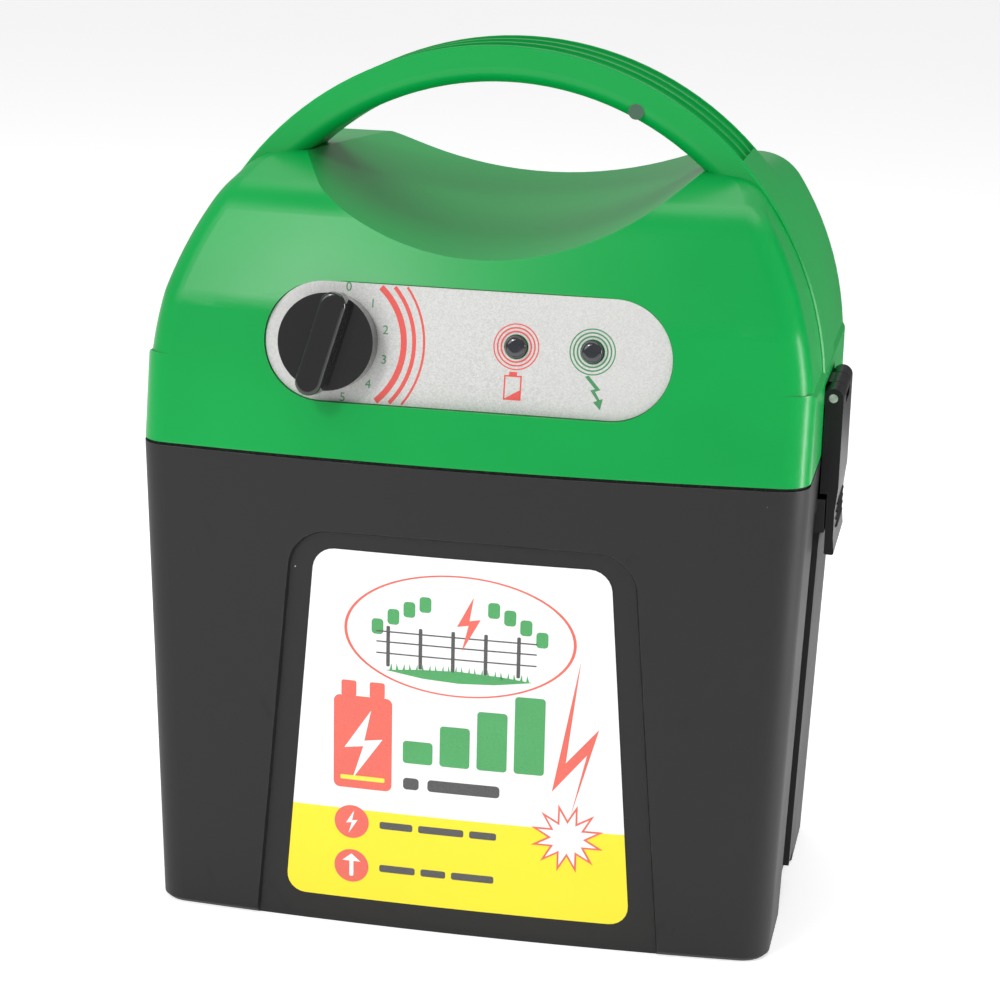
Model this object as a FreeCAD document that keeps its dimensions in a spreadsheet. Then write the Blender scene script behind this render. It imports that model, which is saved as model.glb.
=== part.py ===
import FreeCAD, Part
import math
import os

import Sketcher

# A nine volt fence energizer: a battery tub with a lifting top housing that holds the electronics.
# Frame: X to the right seen from the front, Y towards the rear, Z up, origin at the centre of the flat base.
# The sizes below fill the sheet "Sizes". Everything else is worked out from them by expressions.

SIZES = {
    # tub
    "seam_width": 222.0,
    "seam_depth": 146.0,
    "seam_bow": 6.8,
    "side_draft": 10.0,
    "front_draft": 9.5,
    "base_bow": 4.5,
    "tub_height": 164.0,
    "corner_radius": 10.0,
    "wall": 2.6,
    "floor_thickness": 3.0,
    "rim_height": 4.0,
    "rim_thickness": 1.5,
    "rim_root": 5.0,
    "seal_thickness": 0.7,
    "base_edge": 1.4,
    # recess for the label in the tub's front
    "recess_depth": 1.6,
    "recess_top": 135.8,
    "recess_top_half": 53.8,
    "recess_base_half": 68.6,
    "recess_corner": 10.0,
    "recess_slope": 25.0,
    "label_bottom": 9.5,
    "label_height": 124.5,
    "label_top_half": 49.5,
    "label_base_half": 59.5,
    "label_corner": 7.0,
    "label_thickness": 0.3,
    # side recesses of the tub, with a rib under each latch
    "side_recess_depth": 2.6,
    "side_recess_half": 25.0,
    "side_recess_top": 146.0,
    "rib_half": 11.0,
    "rib_proud": 1.2,
    "rib_bottom": 14.0,
    # top housing
    "overall_height": 295.0,
    "seam_gap": 1.0,
    "side_step": 0.8,
    "skirt_top": 193.0,
    "crown_drop": 38.0,
    "crown_fall": 4.0,
    "crown_radius": 18.0,
    "face_lean": 9.5,
    "crease_height": 213.0,
    "crease_radius": 16.0,
    "brow_depth": 26.0,
    "brow_height": 10.0,
    "brow_radius": 20.0,
    "side_edge_radius": 10.0,
    "rear_edge_radius": 5.0,
    "scoop_front_drop": 28.8,
    "scoop_rear_drop": 15.6,
    # handle
    "handle_width": 37.4,
    "handle_thickness": 12.4,
    "handle_leg": 10.8,
    "handle_inner_radius": 5.5,
    "handle_edge": 0.6,
    "groove_width": 9.6,
    "groove_land": 2.2,
    "groove_depth": 1.7,
    "groove_reach": 46.0,
    # control panel
    "panel_height": 202.6,
    "panel_shift": 1.3,
    "panel_width": 134.4,
    "panel_tall": 39.4,
    "panel_depth": 4.0,
    "film_thickness": 0.4,
    "film_gap": 0.3,
    "slip_gap": 0.1,
    "knob_place": 45.0,
    "knob_radius": 15.8,
    "knob_skirt": 7.0,
    "knob_bar_height": 13.5,
    "knob_bar_length": 17.8,
    "knob_bar_half": 4.4,
    "knob_gap": 0.5,
    "knob_hollow_radius": 8.0,
    "knob_hollow_depth": 4.6,
    "pointer_angle": 15.0,
    "shaft_radius": 3.0,
    "bush_radius": 4.6,
    "running_gap": 0.08,
    "lamp_radius": 3.7,
    "lamp_rise": 2.2,
    "lamp_place_battery": 16.2,
    "lamp_place_pulse": 41.0,
    # latches
    "latch_half": 20.0,
    "latch_pivot_out": 3.0,
    "latch_pivot_height": 184.6,
    "latch_knuckle": 3.4,
    "latch_step_height": 152.0,
    "latch_tip_height": 131.0,
    "latch_tab_thickness": 2.8,
    "latch_gap": 0.4,
    "pin_radius": 1.5,
    "bracket_half": 7.6,
    "peg_radius": 2.5,
    "lug_bottom": 138.5,
    "lug_height": 11.5,
    "lug_out": 2.4,
    "nose_half": 7.5,
    "nose_out": 1.6,
    "nose_height": 4.4,
    # base plate and electronics
    "plate_height": 175.0,
    "plate_thickness": 2.6,
    "post_radius": 4.5,
    "post_inset": 7.0,
    "post_depth": 42.0,
    "post_top": 200.0,
    "screw_radius": 1.6,
    "screw_head": 1.9,
    "screw_slack": 0.25,
    "board_height": 184.0,
    "board_thickness": 1.6,
    "board_width": 156.0,
    "board_depth": 84.0,
    "board_screw_inset": 6.0,
    "core_place": 42.0,
    "core_width": 50.0,
    "core_height": 42.0,
    "core_depth": 22.0,
    "core_leg": 10.0,
    "capacitor_place": 44.0,
    "capacitor_radius": 16.0,
    "capacitor_length": 52.0,
    "switch_radius": 12.0,
    "switch_depth": 11.0,
    "shaft_in_knob": 8.0,
    "control_board_width": 120.0,
    "control_board_tall": 34.0,
    # terminals
    "terminal_place": 38.0,
    "terminal_height": 205.0,
    "stud_radius": 3.0,
    "stud_point_radius": 2.75,
    "terminal_nut_height": 3.0,
    "terminal_bush_height": 2.5,
    "terminal_bush_radius": 11.0,
    "washer_thickness": 1.2,
    "terminal_knob_radius": 9.0,
    "terminal_knob_height": 9.0,
    "stud_free_end": 8.0,
    "moving_gap": 0.3,
    # battery and its leads
    "pad_thickness": 4.0,
    "battery_width": 165.0,
    "battery_depth": 112.0,
    "battery_height": 112.0,
    "battery_corner": 6.0,
    "post_spacing": 60.0,
    "battery_post_radius": 5.0,
    "battery_post_height": 7.0,
    "lead_radius": 1.7,
    "clip_clearance": 0.4,
    "clip_height": 15.0,
    "clip_wall": 2.6,
    "lead_shift": 8.0,
}

DOC = FreeCAD.newDocument("fence_energizer")
NODES = []


# ---------------------------------------------------------------- sizes that know their expression

class Size:
    """A length with its value now and the expression that binds it to the sheet."""

    def __init__(self, value, text):
        self.value = value
        self.text = text

    def __add__(self, other):
        other = as_size(other)
        return Size(self.value + other.value, f"({self.text} + {other.text})")

    def __sub__(self, other):
        other = as_size(other)
        return Size(self.value - other.value, f"({self.text} - {other.text})")

    def __mul__(self, other):
        other = as_size(other)
        return Size(self.value * other.value, f"({self.text} * {other.text})")

    def __truediv__(self, other):
        other = as_size(other)
        return Size(self.value / other.value, f"({self.text} / {other.text})")

    def __radd__(self, other):
        return as_size(other) + self

    def __rsub__(self, other):
        return as_size(other) - self

    def __rmul__(self, other):
        return as_size(other) * self

    def __neg__(self):
        return Size(-self.value, f"(0 - {self.text})")


def as_size(value):
    """Plain numbers become sizes whose expression is the number."""
    return value if isinstance(value, Size) else Size(float(value), f"{float(value):.6g}")


def root(length):
    return Size(math.sqrt(length.value), f"sqrt({length.text})")


def tangent(angle):
    return Size(math.tan(math.radians(angle.value)), f"tan({angle.text} * 1 deg)")


def sine(angle):
    return Size(math.sin(math.radians(angle.value)), f"sin({angle.text} * 1 deg)")


class Sizes:
    """The sheet's cells as attributes."""

    def __init__(self):
        sheet = DOC.addObject("Spreadsheet::Sheet", "Sizes")
        for row, (alias, value) in enumerate(SIZES.items(), start=1):
            sheet.set(f"A{row}", alias.replace("_", " "))
            sheet.set(f"B{row}", str(value))
            sheet.setAlias(f"B{row}", alias)
            setattr(self, alias, Size(value, f"Sizes.{alias}"))
        DOC.recompute()


S = Sizes()


def bind(thing, name, length):
    """One property follows the sheet."""
    thing.setExpression(name, as_size(length).text)


# ---------------------------------------------------------------- bodies, sketches and features

def new_body(name, where=None):
    body = DOC.addObject("PartDesign::Body", name)
    if where:
        where(body)
    return body


def origin_plane(body, role):
    return next(item for item in body.Origin.OriginFeatures if item.Role == role + "_Plane")


def sketch_on(body, plane, name, offset=0.0, turn=None):
    """A sketch on one of the body's origin planes, moved along its normal."""
    sketch = body.newObject("Sketcher::SketchObject", name)
    sketch.AttachmentSupport = [(origin_plane(body, plane), "")]
    sketch.MapMode = "FlatFace"
    if turn is not None:
        sketch.AttachmentOffset = FreeCAD.Placement(
            FreeCAD.Vector(), FreeCAD.Rotation(FreeCAD.Vector(0, 0, 1), turn.value)
        )
        bind(sketch, "AttachmentOffset.Rotation.Angle", turn)
    bind(sketch, "AttachmentOffset.Base.z", offset)
    return sketch


class Corner:
    """A corner of an outline: rounded by radius, or the start of an arc that passes through via."""

    def __init__(self, x, y, radius=None, via=None):
        self.x = as_size(x)
        self.y = as_size(y)
        self.radius = None if radius is None else as_size(radius)
        self.via = None if via is None else (as_size(via[0]), as_size(via[1]))

    def point(self):
        return FreeCAD.Vector(self.x.value, self.y.value, 0)


def bound_point(sketch, geometry, position, x, y):
    """Fixes a point's two coordinates to their expressions."""
    for kind, length in (("DistanceX", x), ("DistanceY", y)):
        index = sketch.addConstraint(Sketcher.Constraint(kind, -1, 1, geometry, position, length.value))
        sketch.setExpression(f"Constraints[{index}]", length.text)


def helper_point(sketch, x, y, *curves):
    """A construction point at a bound place, which the curves pass through."""
    point = sketch.addGeometry(Part.Point(FreeCAD.Vector(x.value, y.value, 0)), True)
    bound_point(sketch, point, 1, x, y)
    for curve in curves:
        sketch.addConstraint(Sketcher.Constraint("PointOnObject", point, 1, curve))


def end_of(sketch, curve, place):
    """Which end of the curve, 1 or 2, lies nearer to the place."""
    distances = [(sketch.getPoint(curve, end) - place).Length for end in (1, 2)]
    return 1 if distances[0] <= distances[1] else 2


def arc_direction(start, via, end, at_start):
    """The unit direction in which an arc leaves its start, or arrives at its end reversed."""
    centre = Part.Circle(start, via, end).Center
    radial = (start if at_start else end) - centre
    along = FreeCAD.Vector(-radial.y, radial.x, 0).normalize()
    towards = (via - start) if at_start else (via - end)
    return along if along.dot(towards) > 0 else along * -1


def outline(sketch, corners, closed=True):
    """A loop through the corners, or an open path, each corner fixed by the sheet."""
    count = len(corners)
    points = [corner.point() for corner in corners]
    vias = [c.via and FreeCAD.Vector(c.via[0].value, c.via[1].value, 0) for c in corners]

    def leaving(i):
        """Unit direction from corner i along its own edge."""
        if vias[i]:
            return arc_direction(points[i], vias[i], points[(i + 1) % count], True)
        return (points[(i + 1) % count] - points[i]).normalize()

    def arriving(i):
        """Unit direction from corner i back along the edge before it."""
        before = (i - 1) % count
        if vias[before]:
            return arc_direction(points[before], vias[before], points[i], False)
        return (points[before] - points[i]).normalize()

    setback = []
    for i, corner in enumerate(corners):
        if corner.radius is None:
            setback.append(0.0)
        else:
            setback.append(corner.radius.value / math.tan(leaving(i).getAngle(arriving(i)) / 2))

    edges = []
    for i in range(count if closed else count - 1):
        after = (i + 1) % count
        start = points[i] + leaving(i) * setback[i]
        end = points[after] + arriving(after) * setback[after]
        if vias[i]:
            edges.append((sketch.addGeometry(Part.Arc(start, vias[i], end), False), start, end))
        else:
            edges.append((sketch.addGeometry(Part.LineSegment(start, end), False), start, end))

    if not closed:
        for edge, place, corner in (
                (edges[0][0], edges[0][1], corners[0]), (edges[-1][0], edges[-1][2], corners[-1])):
            bound_point(sketch, edge, end_of(sketch, edge, place), corner.x, corner.y)

    for i, corner in enumerate(corners):
        if not closed and i in (0, count - 1):
            continue
        before, _, last = edges[(i - 1) % count]
        here, first, _ = edges[i]
        before_end = end_of(sketch, before, last)
        here_end = end_of(sketch, here, first)
        if corner.radius is None:
            sketch.addConstraint(Sketcher.Constraint("Coincident", before, before_end, here, here_end))
            bound_point(sketch, here, here_end, corner.x, corner.y)
            continue
        inward = (leaving(i) + arriving(i)).normalize()
        half_angle = leaving(i).getAngle(arriving(i)) / 2
        centre = points[i] + inward * (corner.radius.value / math.sin(half_angle))
        middle = centre - inward * corner.radius.value
        rounding = sketch.addGeometry(Part.Arc(last, middle, first), False)
        first_end = end_of(sketch, rounding, last)
        sketch.addConstraint(Sketcher.Constraint("Tangent", before, before_end, rounding, first_end))
        sketch.addConstraint(Sketcher.Constraint("Tangent", here, here_end, rounding, 3 - first_end))
        index = sketch.addConstraint(Sketcher.Constraint("Radius", rounding, corner.radius.value))
        sketch.setExpression(f"Constraints[{index}]", corner.radius.text)
        helper_point(sketch, corner.x, corner.y, before, here)

    for i, corner in enumerate(corners):
        if corner.via:
            helper_point(sketch, corner.via[0], corner.via[1], edges[i][0])
    return sketch


def rectangle(sketch, left, bottom, right, top, radius=None):
    return outline(sketch, [
        Corner(left, bottom, radius),
        Corner(right, bottom, radius),
        Corner(right, top, radius),
        Corner(left, top, radius),
    ])


def circle(sketch, x, y, radius):
    x, y, radius = as_size(x), as_size(y), as_size(radius)
    centre = FreeCAD.Vector(x.value, y.value, 0)
    curve = sketch.addGeometry(Part.Circle(centre, FreeCAD.Vector(0, 0, 1), radius.value), False)
    index = sketch.addConstraint(Sketcher.Constraint("Radius", curve, radius.value))
    sketch.setExpression(f"Constraints[{index}]", radius.text)
    bound_point(sketch, curve, 3, x, y)
    return sketch


def pad(body, sketch, length, kind="Pad", both_ways=False, reverse=False, taper=None):
    """A Pad or a Pocket of the sketch; a pocket's direction is given as a pad's."""
    feature = body.newObject("PartDesign::" + kind, kind)
    feature.Profile = sketch
    bind(feature, "Length", length)
    if both_ways:
        feature.SideType = "Symmetric"
    feature.Reversed = reverse if kind == "Pad" else not reverse
    if taper is not None:
        bind(feature, "TaperAngle", taper)
    body.Tip = feature
    return feature


def loft(body, sketches, kind="AdditiveLoft"):
    feature = body.newObject("PartDesign::" + kind, kind)
    feature.Profile = sketches[0]
    feature.Sections = sketches[1:]
    body.Tip = feature
    return feature


def dress(body, kind, size_name, length, chosen):
    """A Fillet or Chamfer on the edges of the body's tip that the test picks."""
    DOC.recompute()
    base = body.Tip
    names = [f"Edge{i}" for i, edge in enumerate(base.Shape.Edges, start=1) if chosen(edge)]
    if not names:
        raise RuntimeError(f"{body.Label}: no edge to {kind.lower()}")
    feature = body.newObject("PartDesign::" + kind, kind)
    feature.Base = (base, names)
    bind(feature, size_name, length)
    body.Tip = feature
    return feature


def fillet(body, radius, chosen):
    return dress(body, "Fillet", "Radius", radius, chosen)


def chamfer(body, size, chosen):
    return dress(body, "Chamfer", "Size", size, chosen)


def solid_fillet(name, base, radius, chosen):
    """A Part::Fillet on the picked edges of any object."""
    DOC.recompute()
    edges = [i for i, edge in enumerate(base.Shape.Edges, start=1) if chosen(edge)]
    if not edges:
        raise RuntimeError(f"{name}: no edge to fillet")
    feature = DOC.addObject("Part::Fillet", name)
    feature.Base = base
    feature.Edges = [(i, radius.value, radius.value) for i in edges]
    return feature


def cut(name, base, tool):
    feature = DOC.addObject("Part::Cut", name)
    feature.Base = base
    feature.Tool = tool
    return feature


def fuse(name, *shapes):
    feature = DOC.addObject("Part::MultiFuse", name)
    feature.Shapes = list(shapes)
    return feature


def common(name, *shapes):
    feature = DOC.addObject("Part::MultiCommon", name)
    feature.Shapes = list(shapes)
    return feature


def keep(node, label):
    """Marks an object as a piece that is written to parts/LABEL.step."""
    node.Label = label
    NODES.append(node)
    return node


def middle_of(edge):
    return edge.CenterOfMass


# ---------------------------------------------------------------- shared shapes of the tub

def base_width():
    """Width of the tub's foot."""
    return S.seam_width - S.side_draft


def base_depth():
    """Depth of the tub's foot."""
    return S.seam_depth - S.front_draft


def tub_share(height):
    """How far up the tub a height lies, from 0 at the base to 1 at the seam."""
    return as_size(height) / S.tub_height


def tub_half_width(height):
    return (base_width() + (S.seam_width - base_width()) * tub_share(height)) / 2


def tub_half_depth(height):
    return (base_depth() + (S.seam_depth - base_depth()) * tub_share(height)) / 2


def tub_bow(height):
    return S.base_bow + (S.seam_bow - S.base_bow) * tub_share(height)


def plan(sketch, height, inset, radius):
    """The tub's outline at a height, moved inwards: straight back and sides, bowed front."""
    half = tub_half_width(height) - inset
    back = tub_half_depth(height) - inset
    front = inset - tub_half_depth(height)
    shoulder = front + tub_bow(height)
    return outline(sketch, [
        Corner(0 - half, shoulder, radius, via=(0, front)),
        Corner(half, shoulder, radius),
        Corner(half, back, radius),
        Corner(0 - half, back, radius),
    ])


def plan_sketch(body, name, height, inset, radius, level=None):
    sketch = sketch_on(body, "XY", name, height if level is None else level)
    return plan(sketch, height, inset, radius)


def front_band(sketch, height, half, near, far):
    """A strip that follows the tub's bowed front between two depths behind it."""
    front = 0 - tub_half_depth(height)
    share = half / tub_half_width(height)
    drop = tub_bow(height) * share * share
    return outline(sketch, [
        Corner(0 - half, front + near + drop, via=(0, front + near)),
        Corner(half, front + near + drop),
        Corner(half, front + far + drop, via=(0, front + far)),
        Corner(0 - half, front + far + drop),
    ])


def front_slab(name, near, far):
    """The full-height strip between two depths behind the tub's front."""
    body = new_body(name)
    half = base_width() / 2 - S.corner_radius
    low = front_band(sketch_on(body, "XY", name + "_low", 0), 0, half, near, far)
    high = front_band(sketch_on(body, "XY", name + "_high", S.tub_height), S.tub_height, half, near, far)
    loft(body, [low, high])
    return body


def side_band(body, name, kind, side, bottom, top, half, inner, outer):
    """A block that follows the tub's sloping side between two distances inside it."""
    sketches = []
    for level in (bottom, top):
        reach = tub_half_width(level)
        edges = [(reach - inner) * side, (reach - outer) * side]
        left, right = edges if side > 0 else edges[::-1]
        sketch = sketch_on(body, "XY", name, level)
        sketches.append(rectangle(sketch, left, 0 - half, right, half))
    return loft(body, sketches, kind)


# ---------------------------------------------------------------- tub

def battery_box():
    body = new_body("tub_core")
    zero = as_size(0)
    loft(body, [
        plan_sketch(body, "foot", 0, S.base_edge, S.corner_radius - S.base_edge),
        plan_sketch(body, "foot_edge", S.base_edge, 0, S.corner_radius),
    ])
    loft(body, [
        plan_sketch(body, "outer_base", S.base_edge, 0, S.corner_radius),
        plan_sketch(body, "outer_seam", S.tub_height, 0, S.corner_radius),
    ])
    inner_radius = S.corner_radius - S.wall
    loft(body, [
        plan_sketch(body, "inner_floor", S.floor_thickness, S.wall, inner_radius),
        plan_sketch(body, "inner_seam", S.tub_height, S.wall, inner_radius),
    ], "SubtractiveLoft")

    # walls step inwards behind the recesses
    backing_top = S.recess_top + S.recess_depth * 4 + S.wall
    overlap = S.wall - 0.2
    low_half = S.recess_base_half + S.recess_depth * 2 + S.wall
    high_half = S.recess_top_half + S.recess_depth * 3 + S.wall
    low = sketch_on(body, "XY", "backing_low", S.floor_thickness - 0.2)
    high = sketch_on(body, "XY", "backing_high", backing_top)
    front_band(low, S.floor_thickness, low_half, overlap, S.recess_depth + S.wall)
    front_band(high, backing_top, high_half, overlap, S.recess_depth + S.wall)
    loft(body, [low, high])
    for side in (-1, 1):
        half = S.side_recess_half + S.wall
        side_band(body, "side_backing", "AdditiveLoft", side, S.floor_thickness - 0.2,
                  S.side_recess_top + S.wall, half, S.side_recess_depth + S.wall, overlap)
        side_band(body, "side_recess", "SubtractiveLoft", side, zero, S.side_recess_top,
                  S.side_recess_half, S.side_recess_depth, as_size(-1))
        side_band(body, "rib", "AdditiveLoft", side, S.rib_bottom, S.lug_bottom + 1,
                  S.rib_half, S.side_recess_depth + 0.2, 0 - S.rib_proud)
        latch_lug(body, side)

    # rim that stands up inside the housing's skirt
    rim_outer = S.wall + S.side_step + S.moving_gap + 0.1
    for name, level, length, outer in (
        ("rim_root", S.tub_height - S.rim_root, S.rim_root, S.wall - 0.2),
        ("rim", S.tub_height, S.rim_height, rim_outer),
    ):
        sketch = plan_sketch(body, name, S.tub_height, outer, S.corner_radius - outer, level)
        plan(sketch, S.tub_height, rim_outer + S.rim_thickness, S.corner_radius - rim_outer - S.rim_thickness)
        pad(body, sketch, length)
    DOC.recompute()

    recess = common("front_recess", front_slab("recess_slab", as_size(-2), S.recess_depth), recess_prism())
    return keep(cut("battery_box", body, recess), "battery_box")


def recess_prism():
    """The label recess as seen from the front, widening outwards along its sloped walls."""
    body = new_body("recess_prism")
    sketch = sketch_on(body, "XZ", "recess_outline", base_depth() / 2 - S.recess_depth - S.base_bow)
    outline(sketch, [
        Corner(0 - S.recess_base_half, -8),
        Corner(S.recess_base_half, -8),
        Corner(S.recess_top_half, S.recess_top, S.recess_corner),
        Corner(0 - S.recess_top_half, S.recess_top, S.recess_corner),
    ])
    pad(body, sketch, 20, taper=S.recess_slope)
    return body


def latch_lug(body, side):
    """The block on the tub's side that the latch snaps over, with its sloped nose."""
    root_x = tub_half_width(S.lug_bottom) - S.side_recess_depth - 0.2
    face = S.seam_width / 2 + S.lug_out
    top = S.lug_bottom + S.lug_height
    sketch = sketch_on(body, "XZ", "lug")
    rectangle(sketch, *sorted_pair(root_x * side, face * side, S.lug_bottom, top))
    pad(body, sketch, S.latch_half * 2, both_ways=True)
    nose = sketch_on(body, "XZ", "nose")
    middle = S.lug_bottom + S.lug_height / 2
    outline(nose, [
        Corner((face - 0.5) * side, middle - S.nose_height / 2 - 0.5),
        Corner((face + S.nose_out) * side, middle - S.nose_height / 2 + S.nose_out),
        Corner((face + S.nose_out) * side, middle + S.nose_height / 2 - S.nose_out),
        Corner((face - 0.5) * side, middle + S.nose_height / 2 + 0.5),
    ])
    pad(body, nose, S.nose_half * 2, both_ways=True)


def sorted_pair(x1, x2, low, high):
    """Left, bottom, right, top of a rectangle whose sides may be given either way round."""
    left, right = (x1, x2) if x1.value < x2.value else (x2, x1)
    return left, low, right, high


def front_label():
    """The printed sheet in the recess, bowed as its floor is."""
    prism = new_body("label_prism")
    sketch = sketch_on(prism, "XZ", "label_outline", base_depth() / 2 - S.recess_depth - S.base_bow)
    outline(sketch, [
        Corner(0 - S.label_base_half, S.label_bottom, S.label_corner),
        Corner(S.label_base_half, S.label_bottom, S.label_corner),
        Corner(S.label_top_half, S.label_bottom + S.label_height, S.label_corner),
        Corner(0 - S.label_top_half, S.label_bottom + S.label_height, S.label_corner),
    ])
    pad(prism, sketch, 20)
    floor = S.recess_depth - 0.02
    sheet = front_slab("label_slab", floor - S.label_thickness, floor)
    return keep(common("front_label", sheet, prism), "front_label")


# ---------------------------------------------------------------- shared shapes of the top housing

def housing_foot():
    """The height of the housing's lower edge."""
    return S.tub_height + S.seam_gap


def bow_radius():
    """Radius of the seam's bowed front, seen from above."""
    half = S.seam_width / 2
    return (half * half + S.seam_bow * S.seam_bow) / (S.seam_bow * 2)


def crown_height():
    """Height of the housing under the handle, before the scoop."""
    return S.overall_height - S.crown_drop


def arch_height():
    """Height of the arch's centre."""
    return S.overall_height - S.seam_width / 2


def face_depth(height):
    """Where the leaning front face is on the middle plane."""
    return (as_size(height) - S.tub_height) * tangent(S.face_lean) - S.seam_depth / 2


def axis_line(sketch, x, low, high):
    """A construction line that a revolution turns about."""
    ends = [FreeCAD.Vector(x.value, low.value, 0), FreeCAD.Vector(x.value, high.value, 0)]
    line = sketch.addGeometry(Part.LineSegment(*ends), True)
    bound_point(sketch, line, 1, x, low)
    bound_point(sketch, line, 2, x, high)


def revolve(body, sketch, angle, kind="Revolution"):
    feature = body.newObject("PartDesign::" + kind, kind)
    feature.Profile = sketch
    feature.ReferenceAxis = (sketch, ["Axis0"])
    bind(feature, "Angle", angle)
    feature.Midplane = True
    body.Tip = feature
    return feature


def front_form(name, inset):
    """Everything behind the housing's bowed front, which leans, creases and folds back to the handle."""
    body = new_body(name)
    drop = inset * 0.6
    foot_y = face_depth(housing_foot() - 20) + inset
    crease_y = face_depth(S.crease_height) + inset
    brow_z = crown_height() - S.brow_height - drop
    back_y = inset - S.handle_width / 2 - 2.3
    brow_y = back_y - S.brow_depth
    beyond = 60
    sketch = sketch_on(body, "YZ", name + "_profile")
    outline(sketch, [
        Corner(foot_y, housing_foot() - 20),
        Corner(beyond * 2, housing_foot() - 20),
        Corner(beyond * 2, S.overall_height),
        Corner(back_y + S.brow_depth, S.overall_height),
        Corner(back_y + S.brow_depth, crown_height() + S.brow_height - drop),
        Corner(brow_y, brow_z, S.brow_radius - inset),
        Corner(crease_y, S.crease_height - drop / 2, S.crease_radius - inset),
    ])
    axis_line(sketch, bow_radius() - S.seam_depth / 2, as_size(0), S.overall_height)
    revolve(body, sketch, as_size(20))
    return body


def arch_block(name, inset):
    """The housing from the front: upright sides run into an arch, cut at the crown, lower at the rear."""
    body = new_body(name)
    rear = S.seam_depth / 2
    front = S.seam_depth
    fall = S.crown_fall / (rear + S.handle_width / 2)
    loft(body, [
        arch_section(body, name + "_rear", rear - inset, crown_height() - S.crown_fall - inset, inset),
        arch_section(body, name + "_front", 0 - front,
                     crown_height() + fall * (front - S.handle_width / 2) - inset, inset),
    ])
    return body


def arch_section(body, name, place, crown, inset):
    radius = S.seam_width / 2 - S.side_step - inset
    rise = crown - arch_height()
    crown_half = root(radius * radius - rise * rise)
    foot = housing_foot() - (0 if inset.value == 0 else 5)
    bend_x = root(radius * radius - rise * rise * 0.25)
    bend_z = arch_height() + rise / 2
    sketch = sketch_on(body, "XZ", name, 0 - place)
    return outline(sketch, [
        Corner(0 - radius, foot),
        Corner(radius, foot),
        Corner(radius, arch_height(), via=(bend_x, bend_z)),
        Corner(crown_half, crown, S.crown_radius - inset),
        Corner(0 - crown_half, crown, S.crown_radius - inset, via=(0 - bend_x, bend_z)),
        Corner(0 - radius, arch_height()),
    ])


def skirt_block(name):
    """The full-width band at the housing's foot."""
    body = new_body(name)
    half = S.seam_width / 2
    rear = S.seam_depth / 2
    sketch = sketch_on(body, "XZ", name + "_outline", 0 - rear)
    step = S.side_step
    outline(sketch, [
        Corner(0 - half, housing_foot()),
        Corner(half, housing_foot()),
        Corner(half, S.skirt_top - step),
        Corner(half - step * 2, S.skirt_top + step),
        Corner(step * 2 - half, S.skirt_top + step),
        Corner(0 - half, S.skirt_top - step),
    ])
    pad(body, sketch, rear + S.seam_depth)
    return body


def scoop_section(body, name, place, low, inset):
    """The hand space seen from the front: the handle's underside above, the scooped crown below."""
    half = grip_half() + inset
    sketch = sketch_on(body, "XZ", name, 0 - place)
    outline(sketch, [
        Corner(0 - half, crown_height(), via=(0, low - inset)),
        Corner(half, crown_height(), via=(0, S.overall_height - S.handle_thickness)),
    ])
    return sketch


def grip_radius():
    """Radius of the handle's underside, through the apex and the two legs."""
    half = S.seam_width / 2 - S.handle_leg
    rise = S.overall_height - S.handle_thickness - arch_height()
    return (half * half + rise * rise) / (rise * 2)


def grip_half():
    """Half the width of the hand space at the crown."""
    radius = grip_radius()
    below = crown_height() - (S.overall_height - S.handle_thickness - radius)
    return root(radius * radius - below * below)


def scoop(name, inset):
    body = new_body(name)
    reach = S.seam_depth / 2 + 7
    loft(body, [
        scoop_section(body, name + "_front", 0 - reach, (crown_height() - S.scoop_front_drop), inset),
        scoop_section(body, name + "_rear", reach, (crown_height() - S.scoop_rear_drop), inset),
    ])
    return body


def handle():
    """The carrying arch, with grip grooves round its top and legs that run down the sides."""
    body = new_body("handle")
    half = S.seam_width / 2
    leg = half - S.handle_leg
    sketch = sketch_on(body, "XZ", "handle_outline")
    outline(sketch, [
        Corner(half, arch_height(), via=(0, S.overall_height)),
        Corner(0 - half, arch_height()),
        Corner(0 - leg, arch_height(), via=(0, S.overall_height - S.handle_thickness)),
        Corner(leg, arch_height()),
    ])
    pad(body, sketch, S.handle_width, both_ways=True)
    chamfer(body, S.handle_edge, lambda e: is_arc(e, S.seam_width.value / 2))
    fillet(body, S.handle_inner_radius, lambda e: is_arc(e, grip_radius().value))
    pitch = S.groove_width + S.groove_land
    for i in (-1, 0, 1):
        sketch = sketch_on(body, "YZ", "groove")
        top = S.overall_height + 2
        left = pitch * i - S.groove_width / 2
        right = pitch * i + S.groove_width / 2
        low = S.overall_height - S.groove_depth
        outline(sketch, [
            Corner(left, low, S.groove_depth / 2),
            Corner(right, low, S.groove_depth / 2),
            Corner(right, top),
            Corner(left, top),
        ])
        line = sketch.addGeometry(Part.LineSegment(
            FreeCAD.Vector(-30, arch_height().value, 0), FreeCAD.Vector(30, arch_height().value, 0)), True)
        bound_point(sketch, line, 1, as_size(-30), arch_height())
        bound_point(sketch, line, 2, as_size(30), arch_height())
        revolve(body, sketch, S.groove_reach * 2, "Groove")
    return body


def is_arc(edge, radius):
    return isinstance(edge.Curve, Part.Circle) and abs(edge.Curve.Radius - radius) < 0.05


# ---------------------------------------------------------------- top housing

def on_panel(body):
    """The panel's frame: X right, Y inwards from the leaning face, Z up the face, origin at its middle."""
    place = FreeCAD.Vector(-S.panel_shift.value, face_depth(S.panel_height).value, S.panel_height.value)
    body.Placement = FreeCAD.Placement(place, FreeCAD.Rotation(FreeCAD.Vector(-1, 0, 0), S.face_lean.value))
    bind(body, "Placement.Base.x", 0 - S.panel_shift)
    bind(body, "Placement.Base.y", face_depth(S.panel_height))
    bind(body, "Placement.Base.z", S.panel_height)
    bind(body, "Placement.Rotation.Angle", S.face_lean)


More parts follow.
